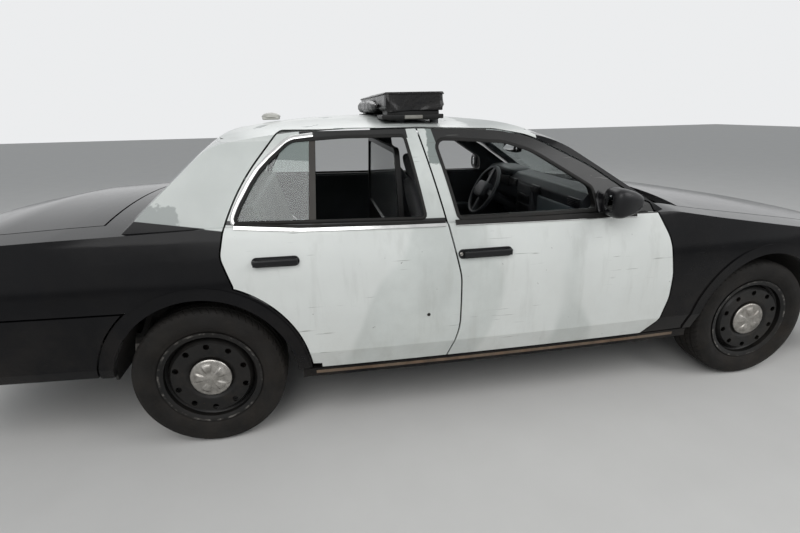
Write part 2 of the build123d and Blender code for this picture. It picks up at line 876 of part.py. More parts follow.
# Side frames: rocker, hinge pillar, windscreen pillar and centre pillar on each side
rocker_zone = hull_outer & solid_block((-1000, 400, ROCKER_Z), (1300, 1100, 400))
with BuildPart() as side_frames:
    add(rocker_zone & solid_block((-1000, 400, ROCKER_Z), (1300, 1100, ROCKER_TOP)))
    add(rocker_zone & flank_block(PANEL_WALL + SEAT_GAP))
    add(flank_block(ROCKER_DEPTH), mode=Mode.SUBTRACT)
    for axle_x in (FRONT_AXLE_X, REAR_AXLE_X):
        add(arch(axle_x, WHEELHOUSE_RADIUS + SEAT_GAP, 400), mode=Mode.SUBTRACT)
    hinge_zone = solid_block((948, 400, 380), (1060, 1100, 965))
    add((flank_block(105) - flank_block(ROCKER_DEPTH)) & hinge_zone)
    centre_zone = solid_block((-172, 400, 380), (-75, 1100, 1015))
    add((flank_block(PILLAR_DEPTH) - flank_block(PILLAR_DEPTH + PILLAR_WALL)) & centre_zone)
    add(left_frame & a_pillar_zone)
    block((950, 740, 925), (1045, 868, 972))
    with BuildSketch(Plane.XY.offset(985)):
        with Locations((-135, 825)):
            Rectangle(72, 60)
    with BuildSketch(Plane.XY.offset(1392)):
        with Locations((-232, 606)):
            Rectangle(72, 60)
    loft()
    hinge_leaf(FRONT_HINGE, 860)
    hinge_leaf(REAR_HINGE, 890)
    mirror(about=Plane.XZ)
finish(side_frames, "side_frames")

# Outer panels


def upright(rows, low, high):
    """Upright prism of a plan outline."""
    with BuildPart() as solid:
        extrude(Plane.XY.offset(low) * face_of(rows), amount=high - low)
    return solid.part


def lid_zone(grow, edge_grow):
    """Room of the boot lid: the whole deck, and the stretch of its face between the lamps."""
    half = TAIL_LAMP_PLAN[0][1] - 2 * PANEL_GAP + grow
    deck = seam_plan(LID_SEAM, LID_FRONT_X, grow, edge_grow, LID_STEP_Z - grow, 1200)
    face = solid_block((-2800, -half, REAR_BUMPER_TOP + 16 - grow), (-2400, half, LID_STEP_Z + 1))
    return deck + face


hood_room = seam_plan(HOOD_SEAM, HOOD_REAR_X, PANEL_GAP, PANEL_GAP, HOOD_NOSE_Z - PANEL_GAP, 1300)
lamp_room = upright(grown(HEADLAMP_PLAN, SEAT_GAP), 500, HEADLAMP_Z[1] + SEAT_GAP)
tail_room = upright(grown(TAIL_LAMP_PLAN, SEAT_GAP), TAIL_LAMP_Z[0] - SEAT_GAP, TAIL_LAMP_Z[1] + SEAT_GAP)
grille_room = solid_block((2300, -GRILLE_HALF - SEAT_GAP, 500), (2800, 352, HEADLAMP_Z[1] + SEAT_GAP))


def flare(axle_x, arch_radius):
    """Raised lip round a left wheel opening."""
    ring = arch(axle_x, arch_radius + FLARE_WIDTH) - arch(axle_x, arch_radius)
    lip = flank_block(-FLARE_RISE) - flank_block(PANEL_WALL)
    low = solid_block((-2600, 500, ROCKER_TOP + PANEL_GAP), (2600, 1100, 900))
    return lip & ring & through(BOTTOM_LINE, 0, 500) & low


front_ring = arch(FRONT_AXLE_X, PANEL_ARCH_RADIUS)
rear_ring = arch(REAR_AXLE_X, PANEL_ARCH_RADIUS)
above_rocker = solid_block((-2800, 0, ROCKER_TOP + PANEL_GAP), (2800, 1100, 1300))
with BuildPart() as front_fenders:
    add(left_shell & (through(FENDER_ROWS, 0, 300) + front_ring))
    add(above_rocker, mode=Mode.INTERSECT)
    add(front_opening, mode=Mode.SUBTRACT)
    add(hood_room, mode=Mode.SUBTRACT)
    add(lamp_room, mode=Mode.SUBTRACT)
    add(grille_room, mode=Mode.SUBTRACT)
    add(glass_outer, mode=Mode.SUBTRACT)
    block((1000, -1, 880), (1300, COWL_HALF + PANEL_GAP, 1200), mode=Mode.SUBTRACT)
    block((1122, -1, 950), (1160, 778, 1200), mode=Mode.SUBTRACT)
    add(wheel_front, mode=Mode.SUBTRACT)
    add(flare(FRONT_AXLE_X, ARCH_RADIUS_FRONT))
    mirror(about=Plane.XZ)
finish(front_fenders, "front_fenders")

with BuildPart() as quarter_panels:
    add(left_shell & (through(QUARTER_ROWS, 0, -1) + rear_ring))
    add(solid_block((-2800, 0, ROCKER_TOP + PANEL_GAP), (-780, 1100, 1300)), mode=Mode.INTERSECT)
    add(solid_block((-1190, 0, 352), (-780, 860, 1300)), mode=Mode.SUBTRACT)
    add(lid_zone(PANEL_GAP, LID_FRONT_GAP), mode=Mode.SUBTRACT)
    add(tail_room, mode=Mode.SUBTRACT)
    add(left_frame & c_pillar_zone)
    add(rear_opening, mode=Mode.SUBTRACT)
    add(backlight_hole & glass_outer & solid_block((-1900, 0, 1078), (-900, 800, 1500)), mode=Mode.SUBTRACT)
    add(wheel_rear, mode=Mode.SUBTRACT)
    add(flare(REAR_AXLE_X, ARCH_RADIUS_REAR))
    rod((LID_PIVOT[0], 699, LID_PIVOT[2]), (LID_PIVOT[0], 712, LID_PIVOT[2]), 5)
    mirror(about=Plane.XZ)
finish(quarter_panels, "quarter_panels")

with BuildPart() as hood:
    add(body_shell & seam_plan(HOOD_SEAM, HOOD_REAR_X, 0, 0, HOOD_NOSE_Z, 1300))
    for side in (-600, 600):
        block((1157, side - 7.2, 958), (1225, side + 7.2, 978))
finish(hood, "hood")

with BuildPart() as trunk_lid:
    add(body_shell & lid_zone(0, 0))
    for side in (-1, 1):
        rod((LID_PIVOT[0], side * 680, LID_PIVOT[2]), (LID_PIVOT[0], side * 698.7, LID_PIVOT[2]), 5)
finish(trunk_lid, "trunk_lid")

with BuildPart() as front_bumper:
    add(left_shell & solid_block((FRONT_AXLE_X, -1, 200), (2800, 1100, FRONT_BUMPER_TOP)))
    add(arch(FRONT_AXLE_X, PANEL_ARCH_RADIUS + PANEL_GAP), mode=Mode.SUBTRACT)
    block((2500, -1, INTAKE_Z[0]), (2800, INTAKE_HALF, INTAKE_Z[1]), mode=Mode.SUBTRACT)
    mirror(about=Plane.XZ)
finish(front_bumper, "front_bumper")

with BuildPart() as rear_bumper:
    add(left_shell & solid_block((-2800, -1, 350), (REAR_AXLE_X, 1100, REAR_BUMPER_TOP)))
    add(arch(REAR_AXLE_X, PANEL_ARCH_RADIUS + PANEL_GAP), mode=Mode.SUBTRACT)
    mirror(about=Plane.XZ)
finish(rear_bumper, "rear_bumper")

with BuildPart() as headlamps:
    add(hull_outer & upright(HEADLAMP_PLAN, *HEADLAMP_Z))
    mirror(about=Plane.XZ)
finish(headlamps, "headlamps")

with BuildPart() as tail_lamps:
    add(hull_outer & upright(TAIL_LAMP_PLAN, *TAIL_LAMP_Z))
    mirror(about=Plane.XZ)
finish(tail_lamps, "tail_lamps")

cell_width = (2 * GRILLE_HALF - 2 * GRILLE_BORDER + GRILLE_BAR) / GRILLE_CELLS[0]
cell_height = (HEADLAMP_Z[1] - HEADLAMP_Z[0] - 2 * GRILLE_BORDER + GRILLE_BAR) / GRILLE_CELLS[1]
with BuildPart() as grille:
    add(body_shell & solid_block((2300, -GRILLE_HALF, HEADLAMP_Z[0]), (2800, GRILLE_HALF, HEADLAMP_Z[1])))
    with BuildSketch(Plane.YZ.offset(2300)):
        with Locations((0, (HEADLAMP_Z[0] + HEADLAMP_Z[1]) / 2)):
            with GridLocations(cell_width, cell_height, *GRILLE_CELLS):
                Rectangle(cell_width - GRILLE_BAR, cell_height - GRILLE_BAR)
    extrude(amount=500, mode=Mode.SUBTRACT)
finish(grille, "grille")

# Cowl between bonnet and windscreen
cowl_top = crown(TOP_LINE, CROWN_TOP, BODY_CROWN_RADIUS, COWL_DROP)
cowl_under = crown(TOP_LINE, CROWN_TOP, BODY_CROWN_RADIUS, COWL_DROP + COWL_WALL)
with BuildPart() as cowl_panel:
    add((cowl_top - cowl_under) & solid_block((1062, -COWL_HALF, 900), (1260, COWL_HALF, 1100)))
    add(hood_room, mode=Mode.SUBTRACT)
    for side in (-600, 600):
        block((1145, side - 22, 900), (1260, side + 22, 1100), mode=Mode.SUBTRACT)
finish(cowl_panel, "cowl_panel")

# Floor: firewall, foot well, seat riser and boot floor in one line, with tunnel and wheelhouses


def wheelhouse(axle_x, near, low):
    """Round inner arch over a left wheel, out to the panel's inner face."""
    ring = arch(axle_x, WHEELHOUSE_RADIUS, near) - arch(axle_x, WHEELHOUSE_RADIUS - WHEELHOUSE_WALL, near)
    return ring & flank_block(PANEL_WALL + SEAT_GAP) & solid_block((-2600, 0, low), (2600, 1100, 900))


with BuildPart() as whole_floor:
    with BuildSketch(Plane.XZ):
        with BuildLine():
            FilletPolyline(*FLOOR_LINE, radius=30)
        trace(line_width=FLOOR_WALL)
    extrude(amount=860, both=True)
    add(flank_block(ROCKER_DEPTH + SEAT_GAP), mode=Mode.INTERSECT)
    add(
        crown(TOP_LINE, CROWN_TOP, BODY_CROWN_RADIUS, COWL_DROP + COWL_WALL + SEAT_GAP),
        mode=Mode.INTERSECT,
    )
    block((-620, -150, FLOOR_UNDER), (1080, 150, 470))
    block((-640, -126, 200), (1090, 126, 446), mode=Mode.SUBTRACT)
    split(bisect_by=Plane.XZ, keep=Keep.BOTTOM)
    add(arch(REAR_AXLE_X, WHEELHOUSE_RADIUS, REAR_HOUSE_Y), mode=Mode.SUBTRACT)
    add(wheelhouse(REAR_AXLE_X, REAR_HOUSE_Y, ROCKER_TOP + PANEL_GAP))
    house_wall = arch(REAR_AXLE_X, WHEELHOUSE_RADIUS, REAR_HOUSE_Y, REAR_HOUSE_Y + WHEELHOUSE_WALL)
    add(house_wall & solid_block((-2000, 0, 570), (-800, 1100, 900)))
    add(wheelhouse(FRONT_AXLE_X, FRONT_HOUSE_Y, ROCKER_TOP + PANEL_GAP))
    add(through(APRON_ROWS, 0, FRONT_HOUSE_Y - WHEELHOUSE_WALL, FRONT_HOUSE_Y))
    block((1500, 480, 400), (1750, 520, 560), mode=Mode.SUBTRACT)
    block((1060, 612, 929.7), (1080.3, 770, 1020), mode=Mode.SUBTRACT)
    for side in (585, 607.5):
        block((1090, side, 905), (1172, side + 7.5, 917))
        block((1158, side, 905), (1172, side + 7.5, HOOD_PIVOT[2]))
        rod((HOOD_PIVOT[0], side, HOOD_PIVOT[2]), (HOOD_PIVOT[0], side + 7.5, HOOD_PIVOT[2]), 7)
    mirror(about=Plane.XZ)

# The floor is three pressings that meet ahead of the pedals and ahead of the rear wheelhouses
with BuildPart() as firewall:
    add(whole_floor.part & solid_block((FIREWALL_JOINT + SEAT_GAP, -1100, -100), (2800, 1100, DROP)))
finish(firewall, "firewall")

with BuildPart() as floor_pan:
    add(whole_floor.part & solid_block((BOOT_FLOOR_JOINT, -1100, -100), (FIREWALL_JOINT, 1100, DROP)))
finish(floor_pan, "floor_pan")

with BuildPart() as boot_floor:
    add(whole_floor.part & solid_block((-2800, -1100, -100), (BOOT_FLOOR_JOINT - SEAT_GAP, 1100, DROP)))
finish(boot_floor, "boot_floor")

# Separate frame under the body
panel_room = hull(PANEL_WALL + SEAT_GAP)
with BuildPart() as ladder_frame:
    add(upright(RAIL_PLAN, 150, 600) & through(RAIL_SIDE, 0, 300, 800))
    for low, high in CROSS_MEMBERS:
        block(low, high)
    for x, y, foot, head in BODY_MOUNTS:
        rod((x, y, foot), (x, y, head), 32)
    add(arch(REAR_AXLE_X, WHEELHOUSE_RADIUS + SEAT_GAP, REAR_HOUSE_Y - SEAT_GAP), mode=Mode.SUBTRACT)
    add(panel_room & solid_block((2440, 360, 370), (2700, 440, 430)))
    add(panel_room & solid_block((-2700, 480, 400), (-2440, 560, 450)))
    mirror(about=Plane.XZ)
finish(ladder_frame, "ladder_frame")

# Engine, drive and fuel
with BuildPart() as engine_block:
    block((1250, -300, 335.3), (1900, 300, 800))
finish(engine_block, "engine_block")

with BuildPart() as radiator:
    block((2250, -350, 400.3), (2305, 350, 740))
finish(radiator, "radiator")

with BuildPart() as exhaust:
    for start, end in zip(EXHAUST_RUN, EXHAUST_RUN[1:]):
        rod(start, end, 25)
    for bend in EXHAUST_RUN[1:-1]:
        with Locations(bend):
            Sphere(25)
    block((-2250, -460, 235), (-1740, -205, 385))
    rod((-2240, -335, 300), (-2640, -335, 300), 26)
    block((-2010, -400, 380), (-1990, -370, 458 - SEAT_GAP))
    block((1249.7, -150, 300), (1300, -30, 460), mode=Mode.SUBTRACT)
finish(exhaust, "exhaust")

with BuildPart() as fuel_tank:
    block((-2300, -175, 235), (-1720, 460, 458 - SEAT_GAP))
finish(fuel_tank, "fuel_tank")

with BuildPart() as rear_axle:
    rod((REAR_AXLE_X, -790, WHEEL_Z), (REAR_AXLE_X, 790, WHEEL_Z), 38)
    with Locations((REAR_AXLE_X, 0, WHEEL_Z)):
        Sphere(125)
    for side in (-1, 1):
        rod((REAR_AXLE_X, side * 785, WHEEL_Z), (REAR_AXLE_X, side * 850, WHEEL_Z), 150)
        rod((REAR_AXLE_X, side * 845, WHEEL_Z), (REAR_AXLE_X, side * REAR_HUB_FACE, WHEEL_Z), 70)
        rod((REAR_AXLE_X, side * 520, 360), (REAR_AXLE_X, side * 520, 470 - SEAT_GAP), 48)
    rod((REAR_AXLE_X + 100, 0, WHEEL_Z), (1250 - SEAT_GAP, 0, WHEEL_Z + 20), 32)
finish(rear_axle, "rear_axle")

with BuildPart() as suspension_arms:
    add(upright(ARM_PLAN, 205, 228))
    rod((*KINGPIN, 205), (*KINGPIN, 228), 17)
    add(upright(UPPER_ARM_PLAN, 460.3, 480))
    rod((*KINGPIN, 460.3), (*KINGPIN, 480), 17)
    mirror(about=Plane.XZ)
finish(suspension_arms, "suspension_arms")

with BuildPart() as left_knuckle:
    block((FRONT_AXLE_X - 20, 775, 228.3), (FRONT_AXLE_X + 20, 805, 460))
    rod((FRONT_AXLE_X, 800, WHEEL_Z), (FRONT_AXLE_X, 865, WHEEL_Z), 38)
    rod((FRONT_AXLE_X, 862, WHEEL_Z), (FRONT_AXLE_X, FRONT_HUB_FACE, WHEEL_Z), 72)
    rod((FRONT_AXLE_X, 815, WHEEL_Z), (FRONT_AXLE_X, 839, WHEEL_Z), 150)
    block((FRONT_AXLE_X - 160, 800, 300), (FRONT_AXLE_X - 85, 852, 390))
    block((FRONT_AXLE_X - 90, 780, 330), (FRONT_AXLE_X - 10, 805, 360))
finish(left_knuckle, "knuckle_left")
with BuildPart() as right_knuckle:
    add(left_knuckle.part.mirror(Plane.XZ))
finish(right_knuckle, "knuckle_right")


def turned(rows, axle_x, middle_y):
    """Solid of a wheel profile turned about its axle."""
    plane = Plane(origin=(axle_x, middle_y, WHEEL_Z), x_dir=(0, 1, 0), z_dir=(1, 0, 0))
    with BuildPart() as solid:
        revolve(plane * face_of(rows), axis=Axis((axle_x, 0, WHEEL_Z), (0, 1, 0)))
    return solid.part


for axle, axle_x, middle_y in (
    ("front", FRONT_AXLE_X, FRONT_TRACK / 2),
    ("rear", REAR_AXLE_X, REAR_TRACK / 2),
):
    with BuildPart() as left_rim:
        add(turned(RIM_PROFILE, axle_x, middle_y))
        add(turned(DISC_PROFILE, axle_x, middle_y))
        for i in range(HAND_HOLES):
            turn = radians(360 / HAND_HOLES * i)
            x = axle_x + HAND_HOLE_CIRCLE * sin(turn)
            z = WHEEL_Z + HAND_HOLE_CIRCLE * cos(turn)
            rod((x, middle_y + 60, z), (x, middle_y + 105, z), HAND_HOLE_RADIUS, Mode.SUBTRACT)
        add(turned(CAP_PROFILE, axle_x, middle_y))
    finish(left_rim, f"rim_{axle}_left")
    with BuildPart() as right_rim:
        add(left_rim.part.mirror(Plane.XZ))
    finish(right_rim, f"rim_{axle}_right")
    with BuildPart() as left_tyre:
        add(turned(TYRE_PROFILE, axle_x, middle_y))
    finish(left_tyre, f"tyre_{axle}_left")
    with BuildPart() as right_tyre:
        add(left_tyre.part.mirror(Plane.XZ))
    finish(right_tyre, f"tyre_{axle}_right")

# Cabin


def along_column(distance):
    """Point on the steering axis, a distance ahead of the wheel's middle."""
    return tuple(c + a * distance for c, a in zip(STEERING_CENTRE, STEERING_AXIS))


with BuildPart() as dashboard:
    add(through(DASH_ROWS, 0, -715, 715))
    rod(along_column(45.3), along_column(420), 34)
    for side in (-1, 1):
        block((1050, side * 680 - 40, 920), (1080, side * 680 + 40, 960), mode=Mode.SUBTRACT)
finish(dashboard, "dashboard")

with BuildPart() as steering_wheel:
    wheel_plane = Plane(origin=STEERING_CENTRE, x_dir=(0, 1, 0), z_dir=STEERING_AXIS)
    with BuildSketch(wheel_plane * Plane.XZ):
        with Locations((STEERING_RADIUS, 0)):
            Circle(14)
    revolve(axis=Axis(STEERING_CENTRE, STEERING_AXIS))
    rod(along_column(-12), along_column(45), 62)
    with BuildSketch(wheel_plane):
        Rectangle(2 * STEERING_RADIUS, 34)
        with Locations((0, STEERING_RADIUS / 2), (0, -STEERING_RADIUS / 2)):
            Rectangle(34, STEERING_RADIUS)
    extrude(amount=9, both=True)
finish(steering_wheel, "steering_wheel")

with BuildPart() as front_seats:
    block((-60, 200, 347.3), (400, 600, 560))
    add(through(CUSHION_ROWS, 0, 150, 660))
    mirror(about=Plane.XZ)
finish(front_seats, "front_seats")

# Seat backs, each with its head rest on top
with BuildPart() as front_seat_backs:
    add(through(SEAT_BACK_ROWS, 0, 150, 660))
    block((-260, 290, 1130), (-192, 520, 1290))
    mirror(about=Plane.XZ)
finish(front_seat_backs, "front_seat_backs")

with BuildPart() as rear_bench:
    add(through(BENCH_ROWS, 0, -640, 640))
    block((-622, -151, 450), (-560, 151, 470.3), mode=Mode.SUBTRACT)
finish(rear_bench, "rear_bench")

with BuildPart() as parcel_shelf:
    block((-1195, -620, 662.3), (-1175, 620, 1005))
    block((-1590, -620, 985), (-1195, 620, 1005))
finish(parcel_shelf, "parcel_shelf")

partition_hole = lengthwise(SCREEN_ROWS, -400, -200)
with BuildPart() as partition_frame:
    add(lengthwise(PARTITION_ROWS, -345, -320))
    add(partition_hole, mode=Mode.SUBTRACT)
    block((-400, -156, 300), (-300, 156, 476), mode=Mode.SUBTRACT)
    for side in (-600, 600):
        block((-345, side - 30, 347.3), (-320, side + 30, 400))
finish(partition_frame, "partition_frame")

with BuildPart() as partition_screen:
    add(lengthwise(grown(SCREEN_ROWS, -SEAT_GAP), -336, -330))
finish(partition_screen, "partition_screen")

# On the roof
roof_room = glasshouse(-SEAT_GAP)
with BuildPart() as light_bar:
    block((-322, -606, 1508), (-102, 606, 1576))
    for side in (-1, 1):
        for x in (-300, -124):
            rod((x, side * 520, 1420), (x, side * 520, 1515), 22)
    add(roof_room, mode=Mode.SUBTRACT)
finish(light_bar, "light_bar")

with BuildPart() as light_bar_cover:
    block((-336, -620, 1492), (-88, 620, 1590))
    block((-322.3, -606.3, 1400), (-101.7, 606.3, 1576.3), mode=Mode.SUBTRACT)
    block((-440, -420, 1508), (-330, 420, 1560))
finish(light_bar_cover, "light_bar_cover")

with BuildPart() as roof_antenna:
    rod((-972, 0, 1440), (-972, 0, 1500), 54)
    rod((-972, 0, 1490), (-972, 0, 1511), 40)
    add(roof_room, mode=Mode.SUBTRACT)
finish(roof_antenna, "roof_antenna")


def on_glass(x, y, lift):
    """Point above the windscreen."""
    (foot_x, foot_z, _), (head_x, head_z, _) = GLASS_LINE[0], GLASS_LINE[1]
    line_z = foot_z + (foot_x - x) / (foot_x - head_x) * (head_z - foot_z)
    axis_z = ROOF_TOP - ROOF_CROWN_RADIUS
    z = axis_z + sqrt((line_z - axis_z) ** 2 - y**2)
    return (x + lift * 0.512, y, z + lift * 0.859)


with BuildPart() as wipers:
    for pivot_y in WIPER_PIVOTS:
        tip = on_glass(1090, pivot_y - 260, 14)
        root = on_glass(WIPER_POST_X, pivot_y, 14)
        rod((WIPER_POST_X, pivot_y, 940), (WIPER_POST_X, pivot_y, root[2] + 4), 9)
        rod(root, tip, 5)
        for i in range(4):
            ends = [pivot_y - WIPER_BLADE * (i + k) / 4 for k in (0, 1)]
            rod(on_glass(1090, ends[0], 9), on_glass(1090, ends[1], 9), 5)
    add(
        crown(TOP_LINE, CROWN_TOP, BODY_CROWN_RADIUS, COWL_DROP - SEAT_GAP),
        mode=Mode.SUBTRACT,
    )
finish(wipers, "wipers")

with BuildPart() as left_mirror:
    add(through(MIRROR_ROWS, 0, 935, 1068))
    fillet(edges().group_by(Axis.Y)[-1], radius=24)
    fillet(edges().group_by(Axis.Y)[0], radius=12)
    block((622, 840, 1038), (700, 945, 1105))
    add(roof_room, mode=Mode.SUBTRACT)
finish(left_mirror, "mirror_left")
with BuildPart() as right_mirror:
    add(left_mirror.part.mirror(Plane.XZ))
finish(right_mirror, "mirror_right")
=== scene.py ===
import logging
import math
from contextlib import contextmanager
from dataclasses import dataclass, field
from enum import Enum, IntEnum
from typing import Callable, Iterator, Sequence

import bpy
from mathutils import Matrix, Vector, noise


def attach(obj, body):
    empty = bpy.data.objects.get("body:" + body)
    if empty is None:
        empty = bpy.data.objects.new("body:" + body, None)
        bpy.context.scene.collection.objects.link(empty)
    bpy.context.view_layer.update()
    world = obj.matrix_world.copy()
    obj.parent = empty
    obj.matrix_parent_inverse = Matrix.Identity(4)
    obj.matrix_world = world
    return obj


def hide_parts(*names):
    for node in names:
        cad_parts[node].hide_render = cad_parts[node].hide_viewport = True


logging.basicConfig(level=logging.INFO, format="%(message)s")
log = logging.getLogger("patrol_car")

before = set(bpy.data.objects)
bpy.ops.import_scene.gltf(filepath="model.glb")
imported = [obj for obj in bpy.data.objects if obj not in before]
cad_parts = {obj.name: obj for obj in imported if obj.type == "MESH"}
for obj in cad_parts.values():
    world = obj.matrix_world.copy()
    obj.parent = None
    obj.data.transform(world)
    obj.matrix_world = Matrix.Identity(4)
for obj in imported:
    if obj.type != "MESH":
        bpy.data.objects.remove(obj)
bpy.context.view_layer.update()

Piece = bpy.types.Object
Material = bpy.types.Material
NodeTree = bpy.types.NodeTree
Pair = tuple[float, float]
Point = tuple[float, float, float]
Colour = tuple[float, float, float, float]

ENDS = ("front", "rear")
AXLES = {"front": 1.6265, "rear": -1.2845}
AXLE_HEIGHT = 0.345
WELD = 0.00002
CAD_WELD = 0.00001


class Side(Enum):
    """The two sides of the car."""

    LEFT = 1
    RIGHT = -1

    @property
    def word(self) -> str:
        """Name of the side in piece names."""
        return self.name.lower()

    def mirrored(self, low: Point, high: Point) -> tuple[Point, Point]:
        """Corners on this side of a box that is given for the left side."""
        near, far = sorted((self.value * low[1], self.value * high[1]))
        return (low[0], near, low[2]), (high[0], far, high[2])


# ---- Shader building -------------------------------------------------------------------------


class Signal:
    """A value that changes over a surface; arithmetic on it adds the nodes that work it out."""

    def __init__(self, graph: "Graph", socket: bpy.types.NodeSocket) -> None:
        """Wraps the output of one of the graph's nodes."""
        self.graph = graph
        self.socket = socket

    def __add__(self, other: object) -> "Signal":
        """Sum with another signal or a number."""
        return self.graph.math("ADD", self, other)

    def __sub__(self, other: object) -> "Signal":
        """Difference from another signal or a number."""
        return self.graph.math("SUBTRACT", self, other)

    def __rsub__(self, other: object) -> "Signal":
        """A number less this signal."""
        return self.graph.math("SUBTRACT", other, self)

    def __mul__(self, other: object) -> "Signal":
        """Product with another signal or a number."""
        return self.graph.math("MULTIPLY", self, other)

    def __abs__(self) -> "Signal":
        """Size without its sign."""
        return self.graph.math("ABSOLUTE", self)


class Graph:
    """A node tree that is written one node at a time."""

    def __init__(self, tree: NodeTree) -> None:
        """Starts on the emptied tree of a material, world or node group."""
        self.tree = tree
        tree.nodes.clear()

    def node(self, kind: str, inputs: dict | None = None, **settings: object) -> bpy.types.Node:
        """Adds a node.

        Args:
            kind: Blender's name of the node type.
            inputs: Socket name or number to a value or to a signal.
            settings: Properties of the node.

        Returns:
            The new node.
        """
        node = self.tree.nodes.new(kind)
        for key, value in settings.items():
            setattr(node, key, value)
        for key, value in (inputs or {}).items():
            if isinstance(value, Signal):
                self.tree.links.new(value.socket, node.inputs[key])
            else:
                node.inputs[key].default_value = value
        return node

    def add(self, kind: str, inputs: dict | None = None, output: int | str = 0, **settings: object) -> Signal:
        """Adds a node and returns the signal at one of its outputs."""
        return Signal(self, self.node(kind, inputs, **settings).outputs[output])

    def math(self, operation: str, first: object, second: object = 0.0, clamp: bool = False) -> Signal:
        """Works out one operation on two numbers."""
        return self.add("ShaderNodeMath", {0: first, 1: second}, operation=operation, use_clamp=clamp)

    def blend(self, factor: object, first: object, second: object) -> Signal:
        """Mixes two colours by a factor."""
        return self.add("ShaderNodeMix", {0: factor, 6: first, 7: second}, output=2, data_type="RGBA")

    def step(self, value: object, low: float, high: float) -> Signal:
        """Rises from 0 to 1 as the value goes from low to high."""
        limits = {0: value, 1: low, 2: high, 3: 0.0, 4: 1.0}
        return self.add("ShaderNodeMapRange", limits, interpolation_type="SMOOTHSTEP")

    def place(self, scale: Point = (1, 1, 1), turn: Point = (0, 0, 0), shift: Point = (0, 0, 0)) -> Signal:
        """The piece's own coordinates, moved, turned and scaled."""
        where = self.add("ShaderNodeTexCoord", output="Object")
        moved = {"Vector": where, "Location": shift, "Rotation": turn, "Scale": scale}
        return self.add("ShaderNodeMapping", moved)

    def axes(self, where: Signal) -> list[Signal]:
        """The three numbers of a place."""
        node = self.node("ShaderNodeSeparateXYZ", {0: where})
        return [Signal(self, socket) for socket in node.outputs]

    def radius(self, where: Signal) -> Signal:
        """Distance from an axle that lies across the car through the place's origin."""
        x, _, z = self.axes(where)
        return self.math("SQRT", x * x + z * z)

    def grain(self, vector: object, scale: object, detail: float = 4.0, rough: float = 0.55) -> Signal:
        """Cloudy noise at a scale."""
        shape = {"Vector": vector, "Scale": scale, "Detail": detail, "Roughness": rough}
        return self.add("ShaderNodeTexNoise", shape)

    def ragged(self, where: Signal, scale: float, reach: float) -> Signal:
        """Rough noise about zero that makes an edge uneven."""
        return (self.grain(where, scale, 6.0, 0.7) - 0.5) * reach

    def group(self, shared: NodeTree, inputs: dict) -> Signal:
        """Places a shared effect with its own values."""
        return self.add("ShaderNodeGroup", inputs, node_tree=shared)


class Effects:
    """Shared surface effects, each a node group that puts out a mask or a height."""

    def __init__(self) -> None:
        """Builds every group once."""
        self.dust = self._dust()
        self.scratches = self._scratches()
        self.chips = self._chips()
        self.pebble = self._pebble()

    @staticmethod
    def _open(name: str, inputs: dict[str, float]) -> tuple[Graph, dict[str, Signal]]:
        """Starts a group.

        Args:
            name: The group's name.
            inputs: Input names and their usual values.

        Returns:
            The group's graph and its inputs as signals.
        """
        tree = bpy.data.node_groups.new(name, "ShaderNodeTree")
        for key, value in inputs.items():
            socket = tree.interface.new_socket(key, in_out="INPUT", socket_type="NodeSocketFloat")
            socket.default_value = value
        tree.interface.new_socket("Mask", in_out="OUTPUT", socket_type="NodeSocketFloat")
        graph = Graph(tree)
        node = graph.node("NodeGroupInput")
        return graph, {key: Signal(graph, node.outputs[key]) for key in inputs}

    @staticmethod
    def _close(mask: Signal) -> NodeTree:
        """Ends a group with its mask."""
        mask.graph.node("NodeGroupOutput", {0: mask})
        return mask.graph.tree

    def _dust(self) -> NodeTree:
        """Road dust that is thick low down and thin higher up."""
        graph, given = self._open("road_dust", {"Amount": 0.5, "Low": 0.2, "High": 0.8})
        where = graph.place()
        limits = {0: graph.axes(where)[2], 1: given["Low"], 2: given["High"], 3: 1.0, 4: 0.12}
        rise = graph.add("ShaderNodeMapRange", limits)
        cloud = graph.step(graph.grain(where, 5.0, 8.0, 0.65), 0.35, 0.75)
        speck = graph.step(graph.grain(where, 140.0, 2.0), 0.45, 0.8)
        return self._close(graph.math("MULTIPLY", (cloud + speck * 0.35) * rise, given["Amount"], clamp=True))

    def _scratches(self) -> NodeTree:
        """Sparse thin scratches in two directions, gathered in patches."""
        graph, given = self._open("fine_scratches", {"Amount": 0.5})
        directions = (((1.5, 60.0, 60.0), (0.0, 0.35, 0.1)), ((2.2, 75.0, 75.0), (0.0, -0.6, 0.0)))
        lines = [graph.grain(graph.place(stretch, turn), 1.7, 2.0) for stretch, turn in directions]
        both = graph.math("MAXIMUM", *(graph.step(line, 0.69, 0.72) for line in lines))
        patch = graph.step(graph.grain(graph.place(), 3.1, 3.0), 0.5, 0.62)
        return self._close(graph.math("MULTIPLY", both * patch, given["Amount"], clamp=True))

    def _chips(self) -> NodeTree:
        """Small hard-edged chips and spots."""
        graph, given = self._open("chips", {"Amount": 0.5, "Scale": 30.0, "Cut": 0.7})
        over = graph.grain(graph.place(), given["Scale"], 3.0, 0.5) - given["Cut"]
        return self._close(graph.math("MULTIPLY", over, 40.0, clamp=True) * given["Amount"])

    def _pebble(self) -> NodeTree:
        """Moulded plastic or leather grain."""
        graph, given = self._open("pebble_grain", {"Scale": 400.0, "Amount": 1.0})
        cells = {"Vector": graph.place(), "Scale": given["Scale"]}
        return self._close(graph.add("ShaderNodeTexVoronoi", cells, output="Distance") * given["Amount"])


EFFECTS = Effects()


